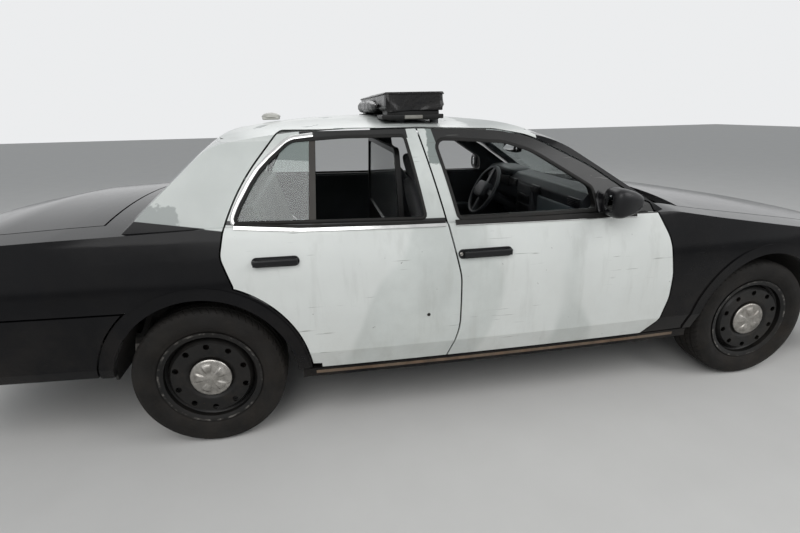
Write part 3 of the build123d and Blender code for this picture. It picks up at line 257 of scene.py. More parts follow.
@dataclass(frozen=True)
class Finish:
    """A surface finish with dust, scratches, chips and grain in the amounts that it shows."""

    name: str
    colour: Colour
    roughness: float = 0.4
    metallic: float = 0.0
    coat: float = 0.0
    vary: float = 0.1
    vary_scale: float = 4.0
    dust: float = 0.0
    dust_top: float = 0.9
    dust_colour: Colour = (0.23, 0.19, 0.145, 1)
    scratch: float = 0.0
    scratch_colour: Colour = (0.12, 0.12, 0.12, 1)
    chip: float = 0.0
    chip_scale: float = 40.0
    chip_cut: float = 0.72
    chip_colour: Colour = (0.3, 0.3, 0.3, 1)
    bump: float = 0.0
    bump_scale: float = 300.0
    transmission: float = 0.0
    ior: float = 1.5
    sheen: float = 0.0
    specular: float = 0.5

    def base(self, graph: Graph) -> Signal:
        """Colour before dust and wear: the paint with its slow variation."""
        deep = tuple(c * (1 - self.vary) for c in self.colour[:3]) + (1.0,)
        pale = tuple(min(c * (1 + self.vary), 1.0) for c in self.colour[:3]) + (1.0,)
        cloud = graph.grain(graph.place(), self.vary_scale, 6.0, 0.6)
        return graph.blend(graph.step(cloud, 0.3, 0.7), deep, pale)

    def relief(self, graph: Graph) -> tuple[Signal, float, float] | None:
        """Height of the relief with the bump's strength and distance, or None on a smooth finish."""
        if not self.bump:
            return None
        height = graph.group(EFFECTS.pebble, {"Scale": self.bump_scale, "Amount": 1.0})
        return height, min(self.bump, 1.0), 0.0006

    def build(self) -> Material:
        """Makes the material.

        Returns:
            The finished material.
        """
        material = bpy.data.materials.new(self.name)
        material.use_nodes = True
        graph = Graph(material.node_tree)
        colour = self.base(graph)
        rough = graph.grain(graph.place(), 22.0, 5.0) * 0.1 + (self.roughness - 0.05)
        if self.chip:
            amounts = {"Amount": self.chip, "Scale": self.chip_scale, "Cut": self.chip_cut}
            colour = graph.blend(graph.group(EFFECTS.chips, amounts), colour, self.chip_colour)
        if self.scratch:
            lines = graph.group(EFFECTS.scratches, {"Amount": self.scratch})
            colour = graph.blend(lines, colour, self.scratch_colour)
            rough = rough + lines * 0.25
        if self.dust:
            dirt = graph.group(EFFECTS.dust, {"Amount": self.dust, "Low": 0.25, "High": self.dust_top})
            colour = graph.blend(dirt, colour, self.dust_colour)
            rough = graph.math("ADD", rough, dirt * 0.45, clamp=True)
        inputs: dict = {
            "Base Color": colour,
            "Roughness": self.roughness if self.transmission else rough,
            "Metallic": self.metallic,
            "IOR": self.ior,
            "Specular IOR Level": self.specular,
            "Coat Roughness": 0.04,
            "Transmission Weight": self.transmission,
            "Coat Weight": self.coat,
            "Sheen Weight": self.sheen,
        }
        relief = self.relief(graph)
        if relief:
            bump = dict(zip(("Height", "Strength", "Distance"), relief))
            inputs["Normal"] = graph.add("ShaderNodeBump", bump)
        shader = graph.add("ShaderNodeBsdfPrincipled", inputs)
        graph.node("ShaderNodeOutputMaterial", {"Surface": shader})
        return material


@dataclass(frozen=True)
class DoorWhite(Finish):
    """Off-white police paint, repainted in fields, with bare primer along some edges."""

    primer: Colour = (0.17, 0.20, 0.19, 1)
    fresh: Colour = (0.71, 0.725, 0.70, 1)
    stain: Colour = (0.30, 0.30, 0.27, 1)

    def base(self, graph: Graph) -> Signal:
        """White with warm and cool clouds, a few repainted fields and primer patches."""
        where = graph.place()
        x, _, z = graph.axes(where)
        fields = graph.step(graph.grain(graph.place((1, 1, 0.6)), 1.6, 1.0), 0.50, 0.54)
        painted = graph.blend(fields * 0.7, Finish.base(self, graph), self.fresh)
        spots = graph.step(graph.grain(where, 4.2, 5.0, 0.62), 0.62, 0.64) * graph.step(z, 1.36, 1.42)
        front = graph.step(x + graph.ragged(where, 8.0, 0.16), 0.02, 0.05) * graph.step(z, 1.40, 1.44)
        bare = graph.math("MAXIMUM", spots, front * 0.8)
        stains = graph.step(graph.grain(graph.place((6, 6, 0.8)), 2.4, 4.0, 0.6), 0.52, 0.72)
        return graph.blend(bare, graph.blend(stains * 0.16, painted, self.stain), self.primer)


@dataclass(frozen=True)
class DoorPaint(DoorWhite):
    """The doors' paint: white skin, and window frames that are black where the photograph shows it."""

    black: Colour = (0.010, 0.010, 0.010, 1)
    front: bool = True
    belt: tuple[float, float, float] = (1.0047, -0.01497, 0.058)

    def base(self, graph: Graph) -> Signal:
        """White below the belt, and above it black ahead of the slanted line on a front door."""
        white = DoorWhite.base(self, graph)
        where = graph.place()
        x, _, z = graph.axes(where)
        level, slope, lift = self.belt
        behind = graph.math("MAXIMUM", -0.82 - x, 0.0)
        rise = z - (x * slope + level + behind * lift)
        above = graph.step(rise, 0.010, 0.012)
        if self.front:
            ahead = graph.step(x + (z - 1.032) * 0.228, -0.093, -0.091)
            ragged = graph.ragged(where, 14.0, 0.10)
            patch = graph.step(z + ragged, 1.268, 1.274) * graph.step(x + ragged * 0.5, -0.214, -0.208)
            return graph.blend(above * ahead, graph.blend(patch * 0.9, white, self.primer), self.black)
        sill = above * graph.step(rise, 0.030, 0.028)
        head = graph.step(z, 1.384, 1.386) * graph.step(x + (z - 1.021) * 0.119, -0.253, -0.255)
        head = head * graph.step(x, -0.80, -0.795)
        return graph.blend(graph.math("MAXIMUM", sill, head), white, self.black)


@dataclass(frozen=True)
class QuarterPaint(Finish):
    """Black quarter panel whose sail panel is white above a slanted line."""

    white: Colour = (0.60, 0.625, 0.60, 1)
    primer: Colour = (0.30, 0.32, 0.31, 1)
    line_x: Pair = (-1.457, -1.142)
    line_z: Pair = (1.074, 1.029)

    def base(self, graph: Graph) -> Signal:
        """Black below the line, white above it and bare primer at the foot of the sail panel."""
        where = graph.place()
        x, y, z = graph.axes(where)
        slope = (self.line_z[1] - self.line_z[0]) / (self.line_x[1] - self.line_x[0])
        level = z - x * slope - (self.line_z[0] - slope * self.line_x[0])
        sail = graph.step(level, -0.001, 0.001) * graph.step(abs(y), 0.40, 0.41)
        cloud = graph.step(graph.grain(where, 3.5, 6.0), 0.3, 0.7)
        pale = graph.blend(cloud, tuple(c * 0.9 for c in self.white[:3]) + (1,), self.white)
        ragged = graph.ragged(where, 9.0, 0.14)
        foot = graph.step(level + ragged, 0.075, 0.065) * graph.step(x + ragged, -1.33, -1.345)
        return graph.blend(sail, Finish.base(self, graph), graph.blend(foot * 0.8, pale, self.primer))


@dataclass(frozen=True)
class TyreRubber(Finish):
    """Rubber with tread blocks, shoulder ribs and sidewall rings about one axle."""

    axle: Pair = (0.0, AXLE_HEIGHT)
    blocks: int = 64
    ring_waves: float = 1400.0

    def relief(self, graph: Graph) -> tuple[Signal, float, float]:
        """Skewed tread blocks, and thin rings on the wall."""
        where = graph.place(shift=(-self.axle[0], 0, -self.axle[1]))
        x, y, z = graph.axes(where)
        radius = graph.radius(where)
        skew = graph.math("ARCTAN2", z, x) + abs(y) * 1.9
        cut = graph.step(graph.math("SINE", skew * float(self.blocks)), -0.95, -0.6)
        blocks = (1.0 - cut) * graph.step(radius, 0.3295, 0.3335)
        ring = graph.step(graph.math("SINE", radius * self.ring_waves), 0.5, 0.95)
        on_wall = graph.step(radius, 0.246, 0.25) * graph.step(radius, 0.322, 0.318)
        return ring * (on_wall * 0.13) - blocks, 0.9, 0.005


@dataclass(frozen=True)
class CrinkledVinyl(Finish):
    """Black weatherproof cover whose thin vinyl has sharp fine creases."""

    def relief(self, graph: Graph) -> tuple[Signal, float, float]:
        """Bent creases with fine grain."""
        cloud = {"Vector": graph.place(), "Scale": 9.0, "Detail": 3.0}
        warp = graph.add("ShaderNodeTexNoise", cloud, output=1)
        bent = graph.add("ShaderNodeVectorMath", {0: graph.place((1, 0.6, 1.6)), 1: warp}, operation="ADD")
        cells = {"Vector": bent, "Scale": 9.0}
        cell = graph.add("ShaderNodeTexVoronoi", cells, output="Distance", feature="F1")
        return cell + graph.grain(graph.place(), 70.0, 4.0) * 0.04, 0.28, 0.005


@dataclass(frozen=True)
class WheelPaint(Finish):
    """Black wheel paint with a worn bright ring on the rim's lip and dust towards the hub."""

    axle: Pair = (0.0, AXLE_HEIGHT)
    bare: Colour = (0.17, 0.16, 0.145, 1)
    brown: Colour = (0.06, 0.045, 0.032, 1)

    def base(self, graph: Graph) -> Signal:
        """Black, with the lip worn to bare metal in patches."""
        radius = graph.radius(graph.place(shift=(-self.axle[0], 0, -self.axle[1])))
        lip = graph.step(radius, 0.2225, 0.2245) * graph.step(radius, 0.2325, 0.2315)
        worn = graph.step(graph.grain(graph.place(), 26.0, 5.0, 0.65), 0.48, 0.74)
        bare = graph.blend(lip * worn, Finish.base(self, graph), self.bare)
        brown = graph.step(graph.grain(graph.place(), 11.0, 6.0, 0.7), 0.45, 0.75)
        return graph.blend(brown * graph.step(radius, 0.20, 0.09) * 0.35, bare, self.brown)


@dataclass(frozen=True)
class SplitLens(Finish):
    """Lens with upright flutes, of two colours that meet at a place along one axis."""

    pitch: float = 0.012
    axis: int = 0
    limit: float = 0.0
    other: Colour = (0.5, 0.15, 0.01, 1)

    def relief(self, graph: Graph) -> tuple[Signal, float, float]:
        """Flutes along the lamp."""
        x, y, _ = graph.axes(graph.place())
        return graph.math("SINE", (y + x * 0.7) * (2 * math.pi / self.pitch)), 0.5, 0.0015

    def base(self, graph: Graph) -> Signal:
        """The second colour below the limit and the first above it."""
        along = abs(graph.axes(graph.place())[self.axis])
        near = graph.step(along, self.limit + 0.001, self.limit - 0.001)
        return graph.blend(near, Finish.base(self, graph), self.other)


@dataclass(frozen=True)
class SeatCloth(Finish):
    """Hard-wearing woven seat cloth."""

    thread: float = 900.0

    def relief(self, graph: Graph) -> tuple[Signal, float, float]:
        """Crossed threads."""
        x, y, z = graph.axes(graph.place())
        weft = graph.math("SINE", (x + z) * (self.thread * 2))
        return weft * graph.math("SINE", y * (self.thread * 2)), 0.4, 0.0006


class Palette:
    """Every finish on the car, built once."""

    def __init__(self) -> None:
        """Builds the materials."""
        gloss = {"vary": 0.15, "specular": 0.14, "dust": 0.07, "dust_top": 0.75, "scratch": 0.06}
        ink = (0.0050, 0.0050, 0.0058, 1)
        self.black = Finish(
            "gloss_black_paint", ink, 0.13, scratch_colour=(0.10, 0.10, 0.10, 1), **gloss
        ).build()
        self.quarter = QuarterPaint(
            "quarter_panel_paint", ink, 0.14, scratch_colour=(0.11, 0.11, 0.11, 1), **gloss
        ).build()
        worn = {
            "colour": (0.585, 0.61, 0.585, 1), "roughness": 0.30, "coat": 0.08, "specular": 0.35,
            "vary": 0.09, "vary_scale": 3.0, "dust": 0.16, "dust_top": 0.85,
            "dust_colour": (0.33, 0.30, 0.24, 1),
            "scratch": 0.75, "scratch_colour": (0.16, 0.16, 0.15, 1), "chip": 0.8, "chip_scale": 46.0,
            "chip_cut": 0.75, "chip_colour": (0.14, 0.13, 0.12, 1),
        }
        self.white = DoorWhite("worn_white_paint", **worn).build()
        self.doors = {
            end: DoorPaint(f"door_paint_{end}", front=end == "front", **worn).build() for end in ENDS
        }
        self.frame_black = Finish(
            "window_frame_black", (0.009, 0.009, 0.009, 1), 0.42, specular=0.25, vary=0.2, dust=0.08,
            chip=0.4, chip_scale=60.0, chip_colour=(0.08, 0.08, 0.08, 1),
        ).build()
        self.bar = Finish("window_bar", (0.032, 0.028, 0.024, 1), 0.5, specular=0.3, vary=0.2).build()
        self.seal = Finish(
            "rubber_seal", (0.008, 0.0078, 0.0075, 1), 0.55, specular=0.2, vary=0.2, dust=0.10, dust_top=1.3,
        ).build()
        self.plastic = Finish(
            "black_plastic", (0.008, 0.008, 0.009, 1), 0.33, specular=0.28, vary=0.2, scratch=0.5,
            scratch_colour=(0.13, 0.13, 0.13, 1), chip=0.5, chip_scale=55.0,
            chip_colour=(0.16, 0.16, 0.16, 1), bump=0.25, bump_scale=500.0,
        ).build()
        self.trim = Finish(
            "cabin_trim", (0.034, 0.037, 0.041, 1), 0.5, vary=0.15, bump=0.5, bump_scale=420.0,
            scratch=0.3, scratch_colour=(0.09, 0.09, 0.09, 1),
        ).build()
        self.trim_blue = Finish(
            "glove_box_grey", (0.085, 0.105, 0.115, 1), 0.45, vary=0.12, bump=0.4, bump_scale=420.0,
        ).build()
        self.trim_pale = Finish(
            "cabin_trim_grey", (0.16, 0.165, 0.17, 1), 0.55, vary=0.1, bump=0.4, bump_scale=420.0,
        ).build()
        self.off_white = Finish(
            "off_white_plastic", (0.50, 0.50, 0.46, 1), 0.38, vary=0.08, vary_scale=30.0, dust=0.25,
            dust_top=3.0, bump=0.2, bump_scale=500.0,
        ).build()
        self.pad = Finish(
            "grey_rubber_pad", (0.20, 0.195, 0.175, 1), 0.6, vary=0.2, vary_scale=25.0, dust=0.3,
            dust_top=3.0,
        ).build()
        self.under = Finish(
            "underbody_black", (0.012, 0.0115, 0.011, 1), 0.7, vary=0.3, dust=0.45, dust_top=1.0,
            dust_colour=(0.08, 0.065, 0.05, 1),
        ).build()
        self.engine = Finish(
            "cast_metal", (0.13, 0.125, 0.12, 1), 0.55, metallic=0.7, vary=0.3, vary_scale=12.0,
            dust=0.4, dust_top=1.2, chip=0.5, chip_colour=(0.22, 0.11, 0.05, 1), chip_cut=0.6,
        ).build()
        self.brake = Finish(
            "brake_iron", (0.035, 0.028, 0.024, 1), 0.6, metallic=0.3, vary=0.5, vary_scale=20.0, dust=0.4,
            dust_top=1.0, dust_colour=(0.07, 0.045, 0.03, 1), chip=0.4, chip_colour=(0.12, 0.06, 0.03, 1),
        ).build()
        self.chrome = Finish(
            "worn_chrome", (0.62, 0.62, 0.61, 1), 0.16, metallic=1.0, vary=0.08, vary_scale=20.0,
            scratch=0.5, scratch_colour=(0.3, 0.29, 0.27, 1), dust=0.25, dust_top=1.3,
        ).build()
        self.cap_chrome = Finish(
            "dull_cap_chrome", (0.40, 0.385, 0.36, 1), 0.24, metallic=1.0, vary=0.25, vary_scale=30.0,
            scratch=0.6, scratch_colour=(0.16, 0.14, 0.12, 1), dust=0.55, dust_top=0.9,
            dust_colour=(0.10, 0.08, 0.06, 1), chip=0.7, chip_scale=60.0, chip_cut=0.68,
            chip_colour=(0.07, 0.055, 0.045, 1),
        ).build()
        self.wheels = {
            end: WheelPaint(
                f"black_wheel_paint_{end}", (0.0065, 0.0065, 0.0065, 1), 0.36, specular=0.25, vary=0.25,
                vary_scale=14.0, dust=0.16, dust_top=0.9, dust_colour=(0.07, 0.058, 0.046, 1), chip=0.5,
                chip_scale=70.0, chip_cut=0.74, chip_colour=(0.09, 0.06, 0.04, 1), axle=(axle, AXLE_HEIGHT),
            ).build()
            for end, axle in AXLES.items()
        }
        self.glass = Finish(
            "window_glass", (0.80, 0.86, 0.84, 1), 0.0, vary=0.0, transmission=1.0, ior=1.45,
        ).build()
        self.scratched = Finish(
            "scratched_screen", (0.82, 0.85, 0.85, 1), 0.08, vary=0.02, transmission=0.95, ior=1.45,
            scratch=0.9, scratch_colour=(0.75, 0.76, 0.76, 1),
        ).build()
        self.lamp = SplitLens(
            "headlamp_lens", (0.50, 0.52, 0.53, 1), 0.08, metallic=0.55, coat=1.0, vary=0.35,
            vary_scale=14.0, dust=0.2, limit=2.385,
        ).build()
        self.red = SplitLens(
            "tail_lamp_red", (0.26, 0.006, 0.008, 1), 0.1, coat=1.0, vary=0.25, vary_scale=40.0, dust=0.15,
            axis=1, limit=0.60, other=(0.55, 0.56, 0.56, 1),
        ).build()
        self.bench = Finish(
            "moulded_bench", (0.17, 0.19, 0.165, 1), 0.45, vary=0.12, bump=0.5, bump_scale=350.0,
            scratch=0.4, scratch_colour=(0.12, 0.13, 0.11, 1),
        ).build()
        self.cloth = SeatCloth("seat_cloth", (0.030, 0.031, 0.034, 1), 0.9, vary=0.2, sheen=0.2).build()
        self.vinyl = CrinkledVinyl(
            "black_vinyl_cover", (0.0065, 0.0065, 0.0072, 1), 0.26, vary=0.2, dust=0.05, dust_top=3.0,
            specular=0.28,
        ).build()
        self.mirror = Finish("mirror_glass", (0.8, 0.82, 0.82, 1), 0.02, metallic=1.0, vary=0.02).build()
        self.plate = Finish(
            "blank_plate", (0.68, 0.69, 0.66, 1), 0.4, vary=0.05, dust=0.2, scratch=0.3,
        ).build()
        self.rust = Finish(
            "rocker_strip", (0.10, 0.06, 0.035, 1), 0.75, vary=0.35, vary_scale=18.0, dust=0.5,
        ).build()
        self.tyres = {
            end: TyreRubber(
                f"tyre_rubber_{end}", (0.012, 0.0112, 0.0105, 1), 0.75, vary=0.3, vary_scale=9.0,
                specular=0.2, dust=0.30, dust_top=0.8, dust_colour=(0.062, 0.050, 0.039, 1),
                axle=(axle, AXLE_HEIGHT),
            ).build()
            for end, axle in AXLES.items()
        }


# ---- Outlines and the two flank surfaces -----------------------------------------------------


def rounded(rows: Sequence[Point], closed: bool = True, step: float = 7.0) -> list[Pair]:
    """Points along an outline whose corners are rounded.

    Args:
        rows: Place across, height and corner radius.
        closed: Whether the last point joins the first.
        step: Degrees between points on a corner.

    Returns:
        The points in order.
    """
    points: list[Pair] = []
    count = len(rows)
    for i, (x, z, radius) in enumerate(rows):
        here = Vector((x, z))
        if not radius or (not closed and i in (0, count - 1)):
            points.append((x, z))
            continue
        back = (Vector(rows[i - 1][:2]) - here).normalized()
        ahead = (Vector(rows[(i + 1) % count][:2]) - here).normalized()
        half = back.angle(ahead) / 2
        middle = here + (back + ahead).normalized() * (radius / math.sin(half))
        start = here + back * (radius / math.tan(half)) - middle
        end = here + ahead * (radius / math.tan(half)) - middle
        sweep = start.angle_signed(end)
        parts = max(2, int(math.degrees(abs(sweep)) / step))
        for k in range(parts + 1):
            cosine, sine = math.cos(-sweep * k / parts), math.sin(-sweep * k / parts)
            across = middle.x + start.x * cosine - start.y * sine
            points.append((across, middle.y + start.x * sine + start.y * cosine))
    return points


def spaced(points: Sequence[Pair], step: float, closed: bool) -> list[Pair]:
    """Even points along a line.

    Args:
        points: The line.
        step: Wanted distance between points.
        closed: Whether the line returns to its start.

    Returns:
        The even points; a closed line's first point comes again at its end.
    """
    line = [Vector(p) for p in points]
    if closed:
        line.append(line[0])
    lengths = [(b - a).length for a, b in zip(line, line[1:])]
    total = sum(lengths)
    count = max(2, round(total / step))
    result = []
    piece, passed = 0, 0.0
    for i in range(count + 1):
        want = total * i / count
        while piece < len(lengths) - 1 and passed + lengths[piece] < want:
            passed += lengths[piece]
            piece += 1
        share = (want - passed) / lengths[piece] if lengths[piece] else 0.0
        result.append(tuple(line[piece].lerp(line[piece + 1], min(share, 1.0))))
    return result


@dataclass(frozen=True)
class Flank:
    """A side surface: one section swept round a far upright axis."""

    rows: tuple[Point, ...]
    bow: float
    centre: float
    half: float = 0.992

    def y(self, x: float, z: float) -> float:
        """Distance from the car's middle at a place along it and a height."""
        line = rounded(self.rows, closed=False, step=2.0)
        section = line[-1][0]
        for (w0, h0), (w1, h1) in zip(line, line[1:]):
            if h0 <= z <= h1:
                section = w0 + (w1 - w0) * (z - h0) / ((h1 - h0) or 1.0)
                break
        radius = self.bow - self.half + section
        return math.sqrt(radius**2 - (x - self.centre) ** 2) - (self.bow - self.half)


BODY_SIDE = Flank(
    (
        (0.905, -0.1, 0), (0.948, 0.345, 0.06), (0.986, 0.447, 0.025), (0.9945, 0.66, 1.5),
        (0.979, 0.855, 0.6), (0.925, 1.014, 0.2), (0.88, 1.08, 0), (0.88, 1.3, 0),
    ),
    30.0,
    0.0,
)
GLASS_SIDE = Flank(((0.95, 0.88, 0), (0.838, 1.215, 1.2), (0.6, 1.5335, 0)), 20.0, -0.15)


# ---- Mesh building ---------------------------------------------------------------------------


class Bench:
    """The workbench: primitives, edit-mode work and finishing of pieces."""

    @staticmethod
    def clear() -> None:
        """Leaves object mode with nothing selected."""
        if bpy.context.mode != "OBJECT":
            bpy.ops.object.mode_set(mode="OBJECT")
        bpy.ops.object.select_all(action="DESELECT")

    @classmethod
    def hold(cls, piece: Piece) -> None:
        """Selects one piece alone and makes it active."""
        cls.clear()
        piece.select_set(True)
        bpy.context.view_layer.objects.active = piece

    @classmethod
    @contextmanager
    def editing(cls, piece: Piece, everything: bool = True) -> Iterator[None]:
        """Edit mode on one piece, with all or nothing of it selected."""
        cls.hold(piece)
        bpy.ops.object.mode_set(mode="EDIT")
        bpy.ops.mesh.select_mode(type="VERT")
        bpy.ops.mesh.select_all(action="SELECT" if everything else "DESELECT")
        try:
            yield
        finally:
            bpy.ops.object.mode_set(mode="OBJECT")

    @staticmethod
    def named(name: str) -> Piece:
        """Names the primitive that was just added."""
        piece = bpy.context.active_object
        piece.name = name
        return piece

    @staticmethod
    def fill_open() -> None:
        """In edit mode, fills every open loop of edges."""
        bpy.ops.mesh.select_all(action="DESELECT")
        bpy.ops.mesh.select_mode(type="EDGE")
        bpy.ops.mesh.select_non_manifold()
        bpy.ops.mesh.fill_holes(sides=0)

    @staticmethod
    def refine(piece: Piece) -> None:
        """Gives a piece one level of subdivision, which settle applies."""
        smooth = piece.modifiers.new("smooth", "SUBSURF")
        smooth.levels = smooth.render_levels = 1

    @staticmethod
    def thicken(piece: Piece, thickness: float) -> None:
        """Gives a shell a wall, inwards from its faces, which settle applies."""
        piece.modifiers.new("wall", "SOLIDIFY").thickness = thickness

    @classmethod
    def settle(cls, piece: Piece, angle: float = 35.0) -> Piece:
        """Applies modifiers and place, and smooths the piece by angle.

        Args:
            piece: The piece to finish.
            angle: Largest angle in degrees that is smoothed.

        Returns:
            The same piece.
        """
        cls.hold(piece)
        for modifier in list(piece.modifiers):
            bpy.ops.object.modifier_apply(modifier=modifier.name)
        bpy.ops.object.transform_apply(location=True, rotation=True, scale=True)
        bpy.ops.object.shade_smooth_by_angle(angle=math.radians(angle))
        cls.clear()
        return piece

    @classmethod
    def block(
        cls, name: str, low: Point, high: Point, bevel: float = 0.004, segments: int = 3
    ) -> Piece:
        """Box between two corners with rounded edges.

        Args:
            name: The piece's name.
            low: Lowest corner.
            high: Highest corner.
            bevel: Radius of the edges.
            segments: Faces across each rounded edge.

        Returns:
            The piece.
        """
        cls.clear()
        middle = [(a + b) / 2 for a, b in zip(low, high)]
        bpy.ops.mesh.primitive_cube_add(size=1, location=middle)
        piece = cls.named(name)
        piece.scale = [b - a for a, b in zip(low, high)]
        bpy.ops.object.transform_apply(location=True, rotation=True, scale=True)
        rounding = piece.modifiers.new("rounding", "BEVEL")
        rounding.width = bevel
        rounding.segments = segments
        rounding.limit_method = "ANGLE"
        return cls.settle(piece)

    @classmethod
    def lathe(
        cls, name: str, rows: Sequence[Pair], centre: Point, side: Side, steps: int
    ) -> Piece:
        """Profile spun about an axle that lies across the car.

        Args:
            name: The piece's name.
            rows: Offset outwards from the centre and radius, one pair a point.
            centre: Middle of the wheel.
            side: The side that the wheel faces.
            steps: Copies round the turn.

        Returns:
            The piece.
        """
        cls.clear()
        start = (centre[0], centre[1] + side.value * rows[0][0], centre[2] + rows[0][1])
        bpy.ops.mesh.primitive_plane_add(size=0.001, location=start)
        piece = cls.named(name)
        bpy.ops.object.transform_apply(location=True, rotation=True, scale=True)
        with cls.editing(piece):
            bpy.ops.mesh.merge(type="CENTER")
            for (o0, r0), (o1, r1) in zip(rows, rows[1:]):
                move = {"value": (0, side.value * (o1 - o0), r1 - r0)}
                bpy.ops.mesh.extrude_region_move(TRANSFORM_OT_translate=move)
            bpy.ops.mesh.select_all(action="SELECT")
            bpy.ops.mesh.spin(steps=steps, angle=2 * math.pi, center=centre, axis=(0, 1, 0))
            bpy.ops.mesh.select_all(action="SELECT")
            bpy.ops.mesh.remove_doubles(threshold=WELD)
            bpy.ops.mesh.normals_make_consistent(inside=False)
        return piece

    @classmethod
    def band(
        cls,
        name: str,
        path: Sequence[Pair],
        profile: Sequence[Pair],
        side: Side,
        depth: Callable[[float, float], float],
        closed: bool = False,
    ) -> Piece:
        """Moulding of one profile run along a line on the car's flank.

        Args:
            name: The piece's name.
            path: Places along the car and heights.
            profile: Offset to the line's right and rise off the surface, all round the profile.
            side: Which flank.
            depth: Distance from the middle at a place and height.
            closed: Whether the line returns to its start.

        Returns:
            The piece.
        """
        cls.clear()
        rows, across = len(path), len(profile) + 1
        bpy.ops.mesh.primitive_grid_add(x_subdivisions=rows - 1, y_subdivisions=across - 1, size=1)
        piece = cls.named(name)
        for vertex in piece.data.vertices:
            i = round((vertex.co.x + 0.5) * (rows - 1))
            j = round((vertex.co.y + 0.5) * (across - 1)) % len(profile)
            if closed:
                before, after = path[(i - 1) % (rows - 1)], path[(i + 1) % (rows - 1)]
            else:
                before, after = path[max(i - 1, 0)], path[min(i + 1, rows - 1)]
            along = (Vector(after) - Vector(before)).normalized()
            offset, rise = profile[j]
            x = path[i][0] + along.y * offset
            z = path[i][1] - along.x * offset
            vertex.co = (x, side.value * (depth(x, z) + rise), z)
        with cls.editing(piece):
            bpy.ops.mesh.remove_doubles(threshold=WELD)
            cls.fill_open()
            bpy.ops.mesh.select_all(action="SELECT")
            bpy.ops.mesh.normals_make_consistent(inside=False)
        return cls.settle(piece, 40)

    @classmethod
    def pillow(
        cls,
        name: str,
        low: Point,
        high: Point,
        power: float = 5.0,
        cuts: int = 15,
        shape: Callable[[Vector, Vector], Vector] | None = None,
    ) -> Piece:
        """Rounded closed form between two corners.

        Args:
            name: The piece's name.
            low: Lowest corner.
            high: Highest corner.
            power: 2 gives an ellipsoid, and more a squarer form.
            cuts: Cuts across each face.
            shape: Moves a point, given it and its place in the form from -1 to 1.

        Returns:
            The piece, not yet settled.
        """
        cls.clear()
        bpy.ops.mesh.primitive_cube_add(size=2)
        piece = cls.named(name)
        with cls.editing(piece):
            bpy.ops.mesh.subdivide(number_cuts=cuts)
        middle = (Vector(low) + Vector(high)) / 2
        half = (Vector(high) - Vector(low)) / 2
        for vertex in piece.data.vertices:
            unit = Vector(math.sin(c * math.pi / 2) for c in vertex.co)
            unit = unit / sum(abs(c) ** power for c in unit) ** (1 / power)
            place = middle + Vector(u * h for u, h in zip(unit, half))
            vertex.co = shape(place, unit) if shape else place
        with cls.editing(piece):
            bpy.ops.mesh.normals_make_consistent(inside=False)
        return piece

    @classmethod
    def join(cls, name: str, parts: Sequence[Piece]) -> Piece:
        """Makes several shapes one piece."""
        cls.clear()
        for part in parts:
            part.select_set(True)
        bpy.context.view_layer.objects.active = parts[0]
        bpy.ops.object.join()
        parts[0].name = name
        cls.clear()
        return parts[0]


class Dresser:
    """Gives pieces their finish and body, and reports them."""

    def __init__(self, palette: Palette) -> None:
        """Keeps the palette that every piece is dressed from."""
        self.palette = palette

    def wear(
        self,
        piece: Piece,
        material: Material,
        body: str,
        slot: str,
        replaces: Sequence[str] = (),
    ) -> Piece:
        """Dresses a new piece.

        Args:
            piece: The finished piece.
            material: Its finish.
            body: The body that it moves with.
            slot: The record's slot that it stands for; not used.
            replaces: CAD nodes that it stands for.

        Returns:
            The piece.
        """
        if not piece.data.materials:
            piece.data.materials.append(material)
        elif len(piece.data.materials) == 1:
            piece.data.materials[0] = material
        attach(piece, body)
        if replaces:
            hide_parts(*replaces)
        log.info("piece %s on %s", piece.name, body)
        return piece

    def keep(self, node: str, material: Material) -> None:
        """Gives a CAD node that stays a better finish."""
        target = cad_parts[node]
        target.data.materials.clear()
        target.data.materials.append(material)
        log.info("node %s dressed", node)

    def panel(
        self,
        node: str,
        body: str,
        slot: str,
        materials: Sequence[Material],
        choose: Callable[[Vector, Vector], int] | None = None,
        angle: float = 28.0,
    ) -> Piece:
        """Copies a CAD node with merged points and smooth faces, and dresses it.

        Args:
            node: The CAD node.
            body: The body that it moves with.
            slot: The record's slot; not used.
            materials: Finishes in order.
            choose: Number of the finish for a face at a place with a normal.
            angle: Largest angle in degrees that is smoothed.

        Returns:
            The piece.
        """
        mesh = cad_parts[node].data.copy()
        piece = bpy.data.objects.new(node + "_finished", mesh)
        bpy.context.scene.collection.objects.link(piece)
        Bench.hold(piece)
        if mesh.has_custom_normals:
            bpy.ops.mesh.customdata_custom_splitnormals_clear()
        with Bench.editing(piece):
            bpy.ops.mesh.remove_doubles(threshold=CAD_WELD)
        mesh.materials.clear()
        for material in materials:
            mesh.materials.append(material)
        for polygon in mesh.polygons:
            polygon.material_index = choose(polygon.center, polygon.normal) if choose else 0
        Bench.hold(piece)
        bpy.ops.object.shade_smooth_by_angle(angle=math.radians(angle))
        even = piece.modifiers.new("even", "WEIGHTED_NORMAL")
        even.keep_sharp = True
        even.mode = "FACE_AREA_WITH_ANGLE"
        bpy.ops.object.modifier_apply(modifier="even")
        Bench.clear()
        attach(piece, body)
        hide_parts(node)
        log.info("panel %s on %s", piece.name, body)
        return piece


# ---- The car's sub-assemblies ----------------------------------------------------------------


@dataclass
class Assembly:
    """A group of the car's pieces."""

    dresser: Dresser

    @property
    def paint(self) -> Palette:
        """Every finish."""
        return self.dresser.palette


